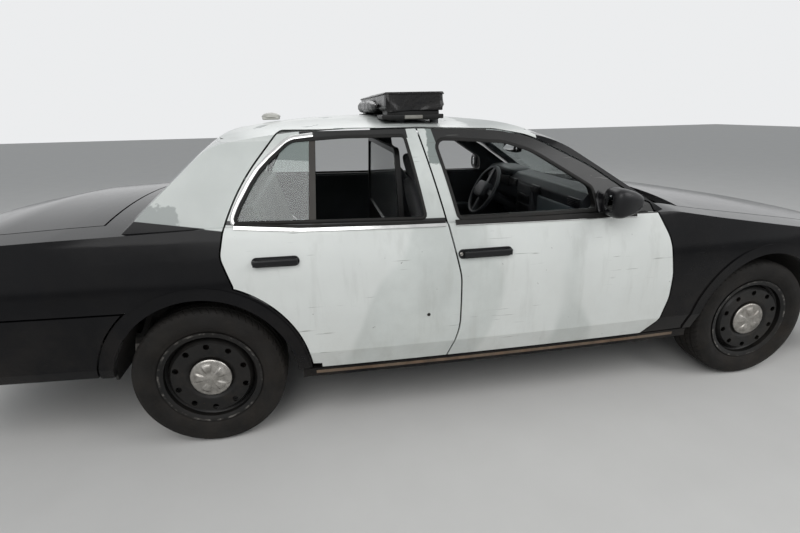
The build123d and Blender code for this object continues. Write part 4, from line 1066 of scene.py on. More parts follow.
def turned(inward: float, down: float, above: float = 0.0) -> Callable[[Vector, Vector], int]:
    """Chooses the second finish for faces that look into the car or down.

    Args:
        inward: How far towards the car's middle a face has to look, and 2 for never.
        down: How far down a face has to look, and 2 for never.
        above: Height that the faces are above.

    Returns:
        A function that gives 1 on those faces and 0 on the others.
    """

    def choose(place: Vector, normal: Vector) -> int:
        """1 on a face that looks in or down."""
        looks_in = normal.y * math.copysign(1, place.y) < -inward
        return int((looks_in or normal.z < -down) and place.z > above)

    return choose


@dataclass
class BodyShell(Assembly):
    """Painted outer panels, bumpers, pillars, glass and lamps."""

    strip_profile: tuple[Pair, ...] = ((0.008, -0.001), (0.008, 0.0012), (-0.008, 0.0012), (-0.008, -0.001))
    strip_start: Pair = (-0.80, 0.325)
    strip_step: float = 0.04
    strip_points: int = 49

    def build(self) -> None:
        """Dresses every fixed panel, lid, pane and lamp."""
        paint = self.paint
        skin, never = turned(0.25, 0.6), 2.0
        two_sided = (
            ("front_fenders", "body", paint.black, paint.under, skin),
            ("front_bumper", "body", paint.black, paint.under, skin),
            ("rear_bumper", "body", paint.black, paint.under, skin),
            ("quarter_panels", "body", paint.quarter, paint.under, skin),
            ("roof_panel", "body", paint.white, paint.trim_pale, turned(0.5, 0.3)),
            ("side_frames", "body", paint.black, paint.trim, turned(0.2, never, 0.4)),
            ("hood", "hood", paint.black, paint.under, turned(never, 0.3)),
            ("trunk_lid", "trunk_lid", paint.black, paint.under, turned(never, 0.3)),
        )
        for node, body, outside, within, choose in two_sided:
            slot = "white_paint" if node == "roof_panel" else "black_paint"
            self.dresser.panel(node, body, slot, [outside, within], choose)
        plain = (
            ("grille", "black_plastic", paint.frame_black), ("cowl_panel", "black_plastic", paint.plastic),
            ("windshield", "glass", paint.glass), ("rear_window", "glass", paint.glass),
            ("headlamps", "lamp_glass", paint.lamp), ("tail_lamps", "red_lens", paint.red),
        )
        for node, slot, material in plain:
            self.dresser.panel(node, "body", slot, [material])
        self.rocker_strips()
        self.plate()

    def rocker_strips(self) -> None:
        """Brown worn strip along the top of each rocker."""
        back, height = self.strip_start
        line = [(back + self.strip_step * i, height) for i in range(self.strip_points)]
        for side in Side:
            piece = Bench.band(f"rocker_strip_{side.word}", line, self.strip_profile, side, BODY_SIDE.y)
            self.dresser.wear(piece, self.paint.rust, "body", "black_paint")

    def plate(self) -> None:
        """Blank plate on the boot lid, with its black holder."""
        holder = Bench.block("plate_holder", (-2.622, -0.165, 0.765), (-2.600, 0.165, 0.925), 0.004)
        self.dresser.wear(holder, self.paint.plastic, "trunk_lid", "black_plastic")
        blank = Bench.block("blank_plate", (-2.6245, -0.152, 0.774), (-2.6225, 0.152, 0.914), 0.0008, 2)
        self.dresser.wear(blank, self.paint.plate, "trunk_lid", "black_plastic")


class DoorFinish(IntEnum):
    """Order of the finishes on a door."""

    PAINT = 0
    EDGE = 1
    TRIM = 2
    BAR = 3


@dataclass
class Doors(Assembly):
    """Four doors with window seals, chrome, dark trims, handles and belt mouldings."""

    belt_rows: tuple[Pair, ...] = (
        (-1.095, 1.037), (-0.820, 1.017), (-0.381, 1.008), (0.089, 1.003), (0.595, 0.997), (0.85, 0.992)
    )
    windows: dict[str, tuple[Point, ...]] = field(
        default_factory=lambda: {
            "front": (
                (-0.092, 1.032, 0.02), (-0.170, 1.374, 0.035), (-0.040, 1.368, 0.6), (0.170, 1.352, 0.2),
                (0.300, 1.312, 0.4), (0.590, 1.132, 0.04), (0.612, 1.030, 0.02),
            ),
            "rear": (
                (-0.246, 1.034, 0.02), (-0.309, 1.400, 0.025), (-0.600, 1.402, 0.9), (-0.840, 1.390, 0.09),
                (-0.983, 1.273, 0.4), (-1.079, 1.116, 0.3), (-1.104, 1.052, 0.02),
            ),
        }
    )
    handles: dict[str, Point] = field(
        default_factory=lambda: {"front": (-0.116, 0.146, 0.877), "rear": (-1.036, -0.831, 0.896)}
    )
    belts: dict[str, Pair] = field(
        default_factory=lambda: {"front": (-0.118, 0.805), "rear": (-1.100, -0.166)}
    )
    seal_profile: tuple[Pair, ...] = (
        (0.004, -0.004), (0.004, 0.001), (0.000, 0.004), (-0.009, 0.0045), (-0.012, 0.002), (-0.012, -0.001)
    )
    chrome_profile: tuple[Pair, ...] = (
        (0.021, -0.001), (0.021, 0.003), (0.017, 0.0058), (0.009, 0.0062), (0.004, 0.0045), (0.004, -0.001)
    )
    belt_height: float = 0.014
    belt_steps: int = 60
    bar_back: float = -0.775
    bar_front: float = -0.722
    bar_top: float = 1.39
    chrome_start: Pair = (-0.735, 1.3985)
    handle_half: float = 0.021
    handle_corner: float = 0.0205
    bezel_profile: tuple[Pair, ...] = (
        (0.0, -0.001), (0.0, 0.004), (-0.002, 0.0058), (-0.005, 0.0050), (-0.0062, 0.0020),
        (-0.0205, 0.0016), (-0.0205, -0.001),
    )
    lock_inset: float = 0.014
    lock_rows: tuple[Pair, ...] = (
        (-0.002, 0.0085), (0.0045, 0.0085), (0.0058, 0.007), (0.005, 0.0045), (0.0045, 0.0001),
    )
    hole_plug: Point = (-0.260, 0.598, 0.008)

    def belt(self, x: float) -> float:
        """Height of the belt moulding's lower edge at a place."""
        rows = self.belt_rows
        for (x0, z0), (x1, z1) in zip(rows, rows[1:]):
            if x <= x1:
                return z0 + (z1 - z0) * (x - x0) / (x1 - x0)
        return rows[-1][1]

    def finish_of(self, place: Vector, normal: Vector) -> int:
        """Paint outside, rubber on the window's edges, trim in the cabin and the dark window bar."""
        outward = normal.y * math.copysign(1, place.y)
        belt = self.belt(place.x)
        if self.bar_back < place.x < self.bar_front and belt + 0.02 < place.z < self.bar_top:
            return DoorFinish.BAR
        if place.z <= belt + self.belt_height:
            return DoorFinish.TRIM if outward < -0.2 else DoorFinish.PAINT
        if outward < -0.3:
            return DoorFinish.TRIM
        return DoorFinish.PAINT if outward > 0.55 else DoorFinish.EDGE

    def build(self) -> None:
        """Dresses the doors and adds what is fixed to them."""
        paint = self.paint
        for side in Side:
            for end in ENDS:
                node = f"door_{end}_{side.word}"
                finishes = [paint.doors[end], paint.seal, paint.trim, paint.bar]
                self.dresser.panel(node, node, "white_paint", finishes, self.finish_of)
                self.mouldings(end, side, node)
                self.handle(end, side, node)
            self.chrome(side)
            self.plug(side)
            self.armrest(side)
            self.dresser.keep(f"quarter_pane_{side.word}", paint.glass)

    def mouldings(self, end: str, side: Side, node: str) -> None:
        """Window seal, and belt moulding with its thin chrome edge."""
        paint = self.paint
        path = spaced(rounded(self.windows[end]), 0.012, True)
        name = f"window_seal_{end}_{side.word}"
        seal = Bench.band(name, path, self.seal_profile, side, GLASS_SIDE.y, closed=True)
        self.dresser.wear(seal, paint.seal, node, "black_plastic")
        back, ahead = self.belts[end]
        steps = self.belt_steps
        line = [(x, self.belt(x)) for x in (back + (ahead - back) * i / steps for i in range(steps + 1))]
        split = -0.013 if end == "rear" else -0.002
        rubber = (
            (split, -0.001), (split, 0.005), (split - 0.002, 0.0065), (-0.018, 0.0065), (-0.022, 0.004),
            (-0.022, -0.001),
        )
        bright = (
            (0.003, -0.001), (0.003, 0.004), (0.001, 0.0072), (split + 0.001, 0.0074), (split, -0.001),
        )
        shapes = (
            ("rubber", rubber, paint.seal, "black_plastic"), ("bright", bright, paint.chrome, "chrome"),
        )
        for word, profile, material, slot in shapes:
            piece = Bench.band(f"belt_{word}_{end}_{side.word}", line, profile, side, self.outer)
            self.dresser.wear(piece, material, node, slot)

    @staticmethod
    def outer(x: float, z: float) -> float:
        """Outermost of the body's flank and the glass's flank at a place."""
        return max(BODY_SIDE.y(x, z), GLASS_SIDE.y(x, z))

    def chrome(self, side: Side) -> None:
        """Chrome strip round the rear curve of the rear window and along its belt."""
        whole = rounded(self.windows["rear"])
        start = next(i for i, (x, z) in enumerate(whole) if x < self.chrome_start[0] and z > 1.38)
        path = spaced([self.chrome_start] + whole[start:], 0.012, False)
        name = f"window_chrome_{side.word}"
        piece = Bench.band(name, path, self.chrome_profile, side, GLASS_SIDE.y)
        self.dresser.wear(piece, self.paint.chrome, f"door_rear_{side.word}", "chrome")

    def handle(self, end: str, side: Side, node: str) -> None:
        """Pull handle in its dark bezel, with a lock on the front door."""
        paint = self.paint
        self.dresser.panel(f"door_handle_{end}_{side.word}", node, "black_plastic", [paint.plastic], angle=40)
        back, ahead, middle = self.handles[end]
        low, high, corner = middle - self.handle_half, middle + self.handle_half, self.handle_corner
        rows = [(x, z, corner) for x, z in ((back, low), (ahead, low), (ahead, high), (back, high))]
        path = spaced(rounded(rows, step=10.0), 0.006, True)
        name = f"handle_bezel_{end}_{side.word}"
        bezel = Bench.band(name, path, self.bezel_profile, side, BODY_SIDE.y, closed=True)
        self.dresser.wear(bezel, paint.plastic, node, "black_plastic")
        if end == "front":
            x = back + self.lock_inset
            place = (x, side.value * BODY_SIDE.y(x, middle), middle)
            lock = Bench.lathe(f"door_lock_{side.word}", self.lock_rows, place, side, 32)
            self.dresser.wear(Bench.settle(lock, 40), paint.cap_chrome, node, "chrome")

    def plug(self, side: Side) -> None:
        """Black plug in a hole of the rear door."""
        x, z, radius = self.hole_plug
        centre = (x, side.value * BODY_SIDE.y(x, z), z)
        rows = (
            (-0.001, radius), (0.0015, radius), (0.0022, radius * 0.8), (0.0016, radius * 0.5),
            (0.0014, 0.0001),
        )
        piece = Bench.settle(Bench.lathe(f"hole_plug_{side.word}", rows, centre, side, 28), 40)
        self.dresser.wear(piece, self.paint.seal, f"door_rear_{side.word}", "black_plastic")

    def armrest(self, side: Side) -> None:
        """Padded armrest and pull inside the front door."""
        low, high = side.mirrored((0.02, 0.800, 0.700), (0.52, 0.868, 0.762))
        piece = Bench.settle(Bench.pillow(f"door_armrest_{side.word}", low, high, 5.0, 9), 60)
        self.dresser.wear(piece, self.paint.trim, f"door_front_{side.word}", "trim_plastic")


@dataclass
class Wheels(Assembly):
    """Steel wheels with domed caps and brake discs, and tyres."""

    tracks: dict[str, float] = field(default_factory=lambda: {"front": 0.805, "rear": 0.830})
    wall: tuple[Pair, ...] = (
        (0.0862, 0.2165), (0.0905, 0.2300), (0.0945, 0.2385), (0.0995, 0.2425), (0.1010, 0.2470),
        (0.1075, 0.2550), (0.1120, 0.2640), (0.1155, 0.2740), (0.1174, 0.2850), (0.1172, 0.2960),
        (0.1155, 0.3060), (0.1128, 0.3150), (0.1085, 0.3235), (0.1045, 0.3290), (0.1040, 0.3310),
        (0.0990, 0.3360), (0.0920, 0.3400), (0.0840, 0.3424),
    )
    tread: tuple[Pair, ...] = (
        (0.0700, 0.3436), (0.0690, 0.3365), (0.0610, 0.3365), (0.0600, 0.3441), (0.0290, 0.3447),
        (0.0280, 0.3370), (0.0200, 0.3370), (0.0190, 0.3449),
    )
    cap: tuple[Pair, ...] = (
        (0.0805, 0.0900), (0.0850, 0.0940), (0.0890, 0.0945), (0.0935, 0.0925), (0.0960, 0.0880),
        (0.0968, 0.0820), (0.0975, 0.0760), (0.0985, 0.0700), (0.0995, 0.0640), (0.1003, 0.0580),
        (0.1010, 0.0520), (0.1016, 0.0460), (0.1022, 0.0400), (0.1030, 0.0340), (0.1045, 0.0280),
        (0.1062, 0.0210), (0.1072, 0.0130), (0.1077, 0.0060), (0.1078, 0.0001),
    )
    lobes: int = 5
    lobe_height: float = 0.006
    lobe_dip: float = 0.001
    lobe_turn: float = 0.9
    lobe_rise: Pair = (0.30, 0.34)
    lobe_span: Pair = (0.030, 0.076)
    disc: tuple[Pair, ...] = (
        (0.040, 0.070), (0.040, 0.168), (0.014, 0.168), (0.014, 0.070), (0.040, 0.070)
    )

    def build(self) -> None:
        """Builds the four wheels."""
        paint = self.paint
        for end, x in AXLES.items():
            for side in Side:
                body = f"wheel_{end}_{side.word}"
                centre = (x, side.value * self.tracks[end], AXLE_HEIGHT)
                rim = f"rim_{end}_{side.word}"
                self.dresser.panel(rim, body, "wheel_steel", [paint.wheels[end]], angle=30)
                self.tyre(end, side, centre, body)
                self.hub_cap(end, side, centre, body)
                rotor = Bench.lathe(f"brake_disc_{end}_{side.word}", self.disc, centre, side, 72)
                self.dresser.wear(Bench.settle(rotor, 40), paint.brake, body, "engine_metal")

    def tyre(self, end: str, side: Side, centre: Point, body: str) -> None:
        """Tyre with grooved tread and shaped walls."""
        outer = list(self.wall) + list(self.tread)
        rows = outer + [(-o, r) for o, r in reversed(outer)] + [outer[0]]
        piece = Bench.lathe(f"tyre_{end}_{side.word}_finished", rows, centre, side, 112)
        rubber = self.paint.tyres[end]
        node = f"tyre_{end}_{side.word}"
        self.dresser.wear(Bench.settle(piece, 38), rubber, body, "tyre_rubber", [node])

    def hub_cap(self, end: str, side: Side, centre: Point, body: str) -> None:
        """Domed cap pressed out over five nuts round a raised middle."""
        piece = Bench.lathe(f"hub_cap_{end}_{side.word}", self.cap, centre, side, 120)
        inner, outer = self.lobe_span
        middle = (inner + outer) / 2
        for vertex in piece.data.vertices:
            dx, dz = vertex.co.x - centre[0], vertex.co.z - centre[2]
            radius = math.hypot(dx, dz)
            if inner < radius < outer:
                ring = math.cos((radius - middle) / (outer - inner) * math.pi) ** 0.7
                wave = 0.5 + 0.5 * math.cos(self.lobes * math.atan2(dx, dz) + self.lobe_turn)
                lobe = min(1.0, max(0.0, (wave - self.lobe_rise[0]) / self.lobe_rise[1]))
                lift = lobe * lobe * (3 - 2 * lobe)
                dip = self.lobe_dip * (1 - lift) * ring
                vertex.co.y += side.value * (self.lobe_height * lift * ring - dip)
        Bench.settle(piece, 50)
        self.dresser.wear(piece, self.paint.cap_chrome, body, "chrome")


@dataclass
class Mirrors(Assembly):
    """Door mirrors: rounded housings on short feet, with recessed glass."""

    low: Point = (0.5925, 0.920, 1.006)
    high: Point = (0.778, 1.068, 1.157)
    nose: float = 1.075
    back_curve: float = 0.012
    taper: float = 0.62
    sweep: float = 0.055
    rim: float = 0.010
    recess: float = 0.008

    def build(self) -> None:
        """Builds both mirrors."""
        for side in Side:
            self.housing(side)
            self.sail(side)

    def housing(self, side: Side) -> None:
        """Rounded shell, open at the back, its foot and its glass."""
        s = side.value
        low, high = side.mirrored(self.low, self.high)

        def shape(place: Vector, unit: Vector) -> Vector:
            """Narrows the shell towards its nose and flattens its back."""
            ahead = (unit.x + 1) / 2
            inward = min(1.0, 1.6 * (1 - max(abs(unit.y), abs(unit.z))))
            flat = max(place.x, low[0] + self.back_curve - self.back_curve * inward)
            rise = self.nose + (place.z - self.nose) * (1 - self.taper * ahead**1.7)
            across = place.y - s * self.sweep * ahead**2 * (1 + s * unit.y) / 2
            return Vector((flat, across, rise))

        shell = Bench.pillow("shell", low, high, 3.6, 19, shape)
        with Bench.editing(shell, False):
            bpy.ops.mesh.select_mode(type="FACE")
        for polygon in shell.data.polygons:
            polygon.select = polygon.normal.x < -0.93
        bpy.ops.object.mode_set(mode="EDIT")
        bpy.ops.mesh.inset(thickness=self.rim, depth=0)
        bpy.ops.mesh.extrude_region_move(TRANSFORM_OT_translate={"value": (self.recess, 0, 0)})
        bpy.ops.mesh.separate(type="SELECTED")
        bpy.ops.object.mode_set(mode="OBJECT")
        glass = next(o for o in bpy.context.selected_objects if o is not shell)
        glass.name = f"mirror_face_{side.word}"
        Bench.thicken(glass, 0.002)
        Bench.settle(glass, 40)
        with Bench.editing(shell, False):
            Bench.fill_open()
        Bench.settle(shell, 50)
        foot = Bench.block("foot", *side.mirrored((0.640, 0.862, 1.046), (0.716, 0.950, 1.100)), 0.014, 4)
        piece = Bench.join(f"mirror_housing_{side.word}", [shell, foot])
        body = f"door_front_{side.word}"
        paint = self.paint
        self.dresser.wear(piece, paint.plastic, body, "black_plastic", [f"mirror_{side.word}"])
        self.dresser.wear(glass, paint.mirror, body, "chrome")

    def sail(self, side: Side) -> None:
        """Black three-sided cover in the window's front corner, which the mirror stands on."""
        rows = ((0.600, 1.020, 0.008), (0.782, 1.012, 0.02), (0.690, 1.078, 0.03), (0.606, 1.128, 0.01))
        profile = (
            (0.0, -0.001), (0.0, 0.004), (-0.004, 0.0075), (-0.018, 0.0085), (-0.030, 0.009),
            (-0.030, -0.001),
        )
        path = spaced(rounded(rows), 0.008, True)
        piece = Bench.band(f"mirror_sail_{side.word}", path, profile, side, Doors.outer, closed=True)
        self.dresser.wear(piece, self.paint.plastic, f"door_front_{side.word}", "black_plastic")


@dataclass
class RoofKit(Assembly):
    """Light bar under its loose black cover, and the antenna dome."""

    low: Point = (-0.398, -0.622, 1.500)
    high: Point = (-0.086, 0.622, 1.594)
    flat: Pair = (0.455, 1.470)
    flat_area: float = 0.610
    side_from: float = 0.97
    top_sag: float = 0.004
    top_wave: float = 0.004
    top_fold: float = 0.008
    edge_drop: float = 0.007
    side_wave: float = 0.006
    side_fold: float = 0.010
    side_inset: float = 0.011
    end_inset: float = 0.013
    end_flare: float = 0.012
    waist: float = 0.030
    waist_from: float = 0.68
    waist_reach: float = 0.32
    corner_cut: float = 0.010
    dome: Point = (-0.972, 0, 1.484)
    dome_size: Point = (0.054, 0.054, 0.026)

    def build(self) -> None:
        """Builds what stands on the roof."""
        paint = self.paint
        self.dresser.panel("light_bar", "body", "trim_plastic", [paint.trim])
        self.cover()
        self.tail()
        self.feet()
        self.antenna()

    def antenna(self) -> None:
        """Low dome on the roof."""
        Bench.clear()
        bpy.ops.mesh.primitive_uv_sphere_add(segments=64, ring_count=32, location=self.dome)
        dome = Bench.named("antenna_dome")
        dome.scale = self.dome_size
        bpy.ops.object.transform_apply(location=True, rotation=True, scale=True)
        with Bench.editing(dome):
            below = (self.dome[0], 0, self.dome[2] - 0.0005)
            bpy.ops.mesh.bisect(plane_co=below, plane_no=(0, 0, -1), use_fill=True, clear_outer=True)
            bpy.ops.mesh.select_all(action="DESELECT")
        foot = Bench.block("foot", (-1.019, -0.047, 1.470), (-0.925, 0.047, 1.486), 0.007, 3)
        piece = Bench.settle(Bench.join("antenna_dome", [dome, foot]), 40)
        self.dresser.wear(piece, self.paint.off_white, "body", "black_plastic", ["roof_antenna"])

    def feet(self) -> None:
        """Wide base plate of the light bar on its pale rubber pads."""
        paint = self.paint
        for side in Side:
            shapes = {
                "foot": ((-0.375, 0.430, 1.462), (-0.118, 0.606, 1.510), 0.008, paint.frame_black),
                "base": ((-0.402, 0.420, 1.4675), (-0.098, 0.614, 1.4885), 0.004, paint.frame_black),
                "pad": ((-0.292, 0.560, 1.4685), (-0.203, 0.6175, 1.4850), 0.003, paint.pad),
            }
            for word, (low, high, bevel, material) in shapes.items():
                part = Bench.block(f"light_bar_{word}_{side.word}", *side.mirrored(low, high), bevel)
                self.dresser.wear(part, material, "body", "trim_plastic")

    def cover(self) -> None:
        """Loose cover over the light bar, with large soft folds."""
        Bench.clear()
        bpy.ops.mesh.primitive_cube_add(size=1)
        piece = Bench.named("light_bar_cover_sheet")
        for vertex in piece.data.vertices:
            vertex.co = [a + (c + 0.5) * (b - a) for a, b, c in zip(self.low, self.high, vertex.co)]
        with Bench.editing(piece, False):
            bpy.ops.mesh.select_mode(type="FACE")
        for polygon in piece.data.polygons:
            polygon.select = polygon.normal.z < -0.5
        Bench.hold(piece)
        bpy.ops.object.mode_set(mode="EDIT")
        bpy.ops.mesh.delete(type="FACE")
        bpy.ops.mesh.select_all(action="SELECT")
        bpy.ops.mesh.subdivide(number_cuts=39)
        bpy.ops.object.mode_set(mode="OBJECT")
        centre = (Vector(self.low) + Vector(self.high)) / 2
        half = (Vector(self.high) - Vector(self.low)) / 2
        for vertex in piece.data.vertices:
            vertex.co = self.fold(vertex.co.copy(), centre, half)
        Bench.refine(piece)
        Bench.thicken(piece, 0.0012)
        Bench.settle(piece, 60)
        self.dresser.wear(piece, self.paint.vinyl, "body", "cover_vinyl", ["light_bar_cover"])

    def fold(self, place: Vector, centre: Vector, half: Vector) -> Vector:
        """Moves a point of the flat-sided cover into the folds of loose vinyl."""
        unit = Vector((a - c) / h for a, c, h in zip(place, centre, half))
        wide = noise.noise(Vector((place.x * 3.0, place.y * 4.5, place.z * 4.0)) + Vector((3.1, 0.7, 0.0)))
        skewed = Vector((place.x * 5.0 + place.y * 2.0, place.y * 8.0, place.z * 6.0))
        ridge = max(1 - abs(noise.noise(skewed)) * 2.2, 0.0) ** 2
        if unit.z > self.side_from:
            edge = max(abs(unit.x) ** 6, abs(unit.y) ** 24)
            sag = self.top_sag + self.top_wave * (wide + 0.5)
            place.z -= sag + self.top_fold * (1 - ridge) * (1 - edge) + self.edge_drop * edge
        else:
            hang = (1 - unit.z) / 2
            flare = self.side_wave * wide + self.side_fold * ridge * (0.35 + hang)
            waist = max(0.0, hang - self.waist_from) / self.waist_reach
            if abs(unit.x) > self.side_from:
                place.x -= math.copysign(self.side_inset - min(flare, self.side_inset), unit.x)
                place.x -= math.copysign(self.waist * waist**1.5, unit.x)
            if abs(unit.y) > self.side_from:
                place.y -= math.copysign(self.end_inset - min(flare * 1.2, self.end_flare), unit.y)
            place.z += hang * 0.012 * (wide + 0.2)
        corner = max(0.0, abs(unit.x) - 0.8) * max(0.0, abs(unit.y) - 0.94) * 80
        place.x -= math.copysign(self.corner_cut * min(corner, 1.0), unit.x)
        place.y -= math.copysign(self.corner_cut * min(corner, 1.0), unit.y)
        return place

    def tail(self) -> None:
        """Bunched end of the cover behind the light bar."""

        def shape(place: Vector, unit: Vector) -> Vector:
            """Crushes the roll into folds."""
            crush = noise.noise(place * 14.0) * 0.010 + abs(noise.noise(place * 26.0)) * 0.007
            return place - Vector((unit.x * crush, unit.y * crush * 0.4, unit.z * crush))

        low, high = (-0.440, -0.420, 1.499), (-0.365, 0.420, 1.562)
        piece = Bench.pillow("light_bar_cover_tail", low, high, 2.8, 35, shape)
        Bench.settle(piece, 70)
        self.dresser.wear(piece, self.paint.vinyl, "body", "cover_vinyl")


@dataclass(frozen=True)
class Padding:
    """How a seat pad is crowned, bolstered and sewn; places on it go from -1 to 1."""

    crown: float
    bolster: float
    bolster_at: float
    side_seams: float
    cross_seams: tuple[float, ...]
    cross_width: float
    cross_reach: float
    bolster_end: float = 2.0
    bolster_width: float = 0.16
    side_width: float = 0.05
    seam: float = 0.010

    @staticmethod
    def groove(place: float, lines: Sequence[float], width: float) -> float:
        """Share of a sewn channel's depth at a place."""
        return min(1.0, sum(math.exp(-(((place - line) / width) ** 2)) for line in lines))

    def rise(self, along: float, across: float) -> float:
        """Height over the plain form at a place along and across the pad."""
        bolster = math.exp(-(((abs(across) - self.bolster_at) / self.bolster_width) ** 2))
        bolster *= along < self.bolster_end
        cross = self.groove(along, self.cross_seams, self.cross_width) * (abs(across) < self.cross_reach)
        sides = self.groove(across, (-self.side_seams, self.side_seams), self.side_width)
        crown = (1 - along**4) * (1 - across**6)
        return self.crown * crown + self.bolster * bolster - self.seam * max(sides, cross)


@dataclass
class Cabin(Assembly):
    """Dashboard, seats, partition and shelf."""

    seat_middle: float = 0.405
    seat_half: float = 0.245
    seat_lean: float = 0.285
    seat_foot: float = 0.62
    cushion_pad: Padding = Padding(0.010, 0.012, 0.82, 0.58, (-0.35, 0.10, 0.55), 0.04, 0.6)
    back_pad: Padding = Padding(0.012, 0.014, 0.80, 0.56, (-0.45, 0.0, 0.45), 0.035, 0.58, 0.75)
    back_taper: float = 0.10
    wrinkle: float = 0.003
    wrinkle_pitch: float = 9.0
    crease: float = 0.0015
    crease_pitch: float = 22.0
    soft_angle: float = 40.0
    flat_angle: float = 28.0
    wheel_centre: Point = (0.492, 0.400, 0.928)
    wheel_axis: Point = (-0.879155, 0.0, 0.476531)
    vents: tuple[float, ...] = (-0.630, -0.175, 0.175, 0.630)

    def build(self) -> None:
        """Dresses the cabin."""
        paint = self.paint
        panels = (
            ("dashboard", "body", "trim_plastic", paint.trim, self.soft_angle),
            ("steering_wheel", "steering_wheel", "trim_plastic", paint.trim, self.soft_angle),
            ("rear_bench", "body", "rear_seat_plastic", paint.bench, self.soft_angle),
            ("parcel_shelf", "body", "trim_plastic", paint.trim, self.flat_angle),
            ("partition_frame", "body", "frame_steel", paint.frame_black, self.flat_angle),
        )
        for node, body, slot, material, angle in panels:
            self.dresser.panel(node, body, slot, [material], angle=angle)
        self.dresser.keep("partition_screen", paint.scratched)
        self.dash()
        self.airbag()
        self.inner_mirror()
        for side in Side:
            self.seat(side)

    def add(self, piece: Piece, material: Material, angle: float = 50.0) -> None:
        """Settles a piece of the cabin and dresses it in plastic."""
        self.dresser.wear(Bench.settle(piece, angle), material, "body", "trim_plastic")

    def dash(self) -> None:
        """Gauge hood, vents, centre stack, radio and glove box lid."""
        paint = self.paint
        hood = Bench.pillow("gauge_hood", (0.615, 0.205, 1.030), (0.800, 0.595, 1.108), 3.5, 15)
        self.add(hood, paint.trim)
        blocks = {
            "gauge_face": ((0.622, 0.245, 0.975), (0.634, 0.555, 1.050), 0.006, 3, paint.frame_black),
            "centre_stack": ((0.628, -0.115, 0.815), (0.700, 0.115, 1.030), 0.012, 4, paint.trim),
            "radio": ((0.6225, -0.092, 0.905), (0.640, 0.092, 0.960), 0.003, 2, paint.plastic),
            "heater_panel": ((0.6235, -0.092, 0.838), (0.640, 0.092, 0.892), 0.003, 2, paint.plastic),
            "glove_box_lid": ((0.632, -0.640, 0.840), (0.665, -0.190, 0.985), 0.012, 4, paint.trim_blue),
        }
        for name, (low, high, bevel, segments, material) in blocks.items():
            self.add(Bench.block(name, low, high, bevel, segments), material)
        for i, y in enumerate(self.vents):
            shell = Bench.block("vent", (0.6245, y - 0.062, 0.992), (0.650, y + 0.062, 1.042), 0.005, 3)
            slats = [
                Bench.block("slat", (0.6215, y - 0.052, z), (0.6300, y + 0.052, z + 0.0025), 0.0008, 2)
                for z in (1.000, 1.009, 1.018, 1.027)
            ]
            self.add(Bench.join(f"dash_vent_{i}", [shell, *slats]), paint.plastic)

    def airbag(self) -> None:
        """Plain bare pad on the middle of the steering wheel."""
        facing, across = Vector(self.wheel_axis), Vector((0, 1, 0))
        upward = across.cross(facing)
        centre = Vector(self.wheel_centre) + facing * 0.020

        def shape(place: Vector, unit: Vector) -> Vector:
            """Turns the pad to face the driver."""
            return centre + facing * unit.x * 0.024 + across * unit.y * 0.088 + upward * unit.z * 0.062

        piece = Bench.settle(Bench.pillow("steering_wheel_pad", (-1, -1, -1), (1, 1, 1), 4.0, 11, shape), 50)
        self.dresser.wear(piece, self.paint.trim, "steering_wheel", "trim_plastic")

    def inner_mirror(self) -> None:
        """Rear-view mirror under the windscreen."""
        paint = self.paint
        shell = Bench.pillow("inner_mirror", (0.515, -0.125, 1.238), (0.550, 0.125, 1.308), 4.0, 11)
        stem = Bench.block("stem", (0.540, -0.010, 1.285), (0.556, 0.010, 1.358), 0.003, 2)
        self.add(Bench.join("inner_mirror", [shell, stem]), paint.plastic)
        glass = Bench.block("inner_mirror_glass", (0.5125, -0.108, 1.248), (0.5165, 0.108, 1.298), 0.0012, 2)
        self.dresser.wear(glass, paint.mirror, "body", "chrome")

    def seat(self, side: Side) -> None:
        """Padded cushion, back and head rest on their frame."""
        paint = self.paint
        y = side.value * self.seat_middle
        half = self.seat_half

        def cushion(place: Vector, unit: Vector) -> Vector:
            """Crowns the cushion, raises its sides and sews its channels."""
            if unit.z > 0:
                place.z += unit.z * self.cushion_pad.rise(unit.x, unit.y)
            fine = noise.noise(place * self.crease_pitch) * self.crease
            return place + unit * (noise.noise(place * self.wrinkle_pitch) * self.wrinkle + fine)

        def back(place: Vector, unit: Vector) -> Vector:
            """Leans the back, crowns it and sews its channels."""
            if unit.x > 0:
                place.x += unit.x * self.back_pad.rise(unit.z, unit.y)
            place.y = y + (place.y - y) * (1 - self.back_taper * max(unit.z, 0) ** 2)
            wrinkle = noise.noise(place * self.wrinkle_pitch) * self.wrinkle
            place.x -= self.seat_lean * (place.z - self.seat_foot)
            return place + unit * wrinkle

        def head(place: Vector, unit: Vector) -> Vector:
            """Leans the head rest with the back."""
            place.x -= self.seat_lean * (place.z - self.seat_foot)
            return place

        pads = {
            "cushion": ((-0.110, y - half, 0.548), (0.466, y + half, 0.664), cushion, 3.8, 31),
            "back": ((-0.118, y - half, 0.575), (0.012, y + half, 1.150), back, 3.8, 31),
            "head_rest": ((-0.080, y - 0.125, 1.135), (0.005, y + 0.125, 1.285), head, 3.2, 15),
        }
        for word, (low, high, shape, power, cuts) in pads.items():
            piece = Bench.pillow(f"front_seat_{word}_{side.word}", low, high, power, cuts, shape)
            Bench.refine(piece)
            Bench.settle(piece, 70)
            node = "front_seats" if word == "cushion" else "front_seat_backs"
            self.dresser.wear(piece, paint.cloth, "body", "seat_fabric", [node])
        low, high = (-0.105, y - 0.215, 0.372), (0.400, y + 0.215, 0.556)
        stand = Bench.block(f"front_seat_stand_{side.word}", low, high, 0.012, 3)
        self.dresser.wear(stand, paint.trim, "body", "seat_fabric")


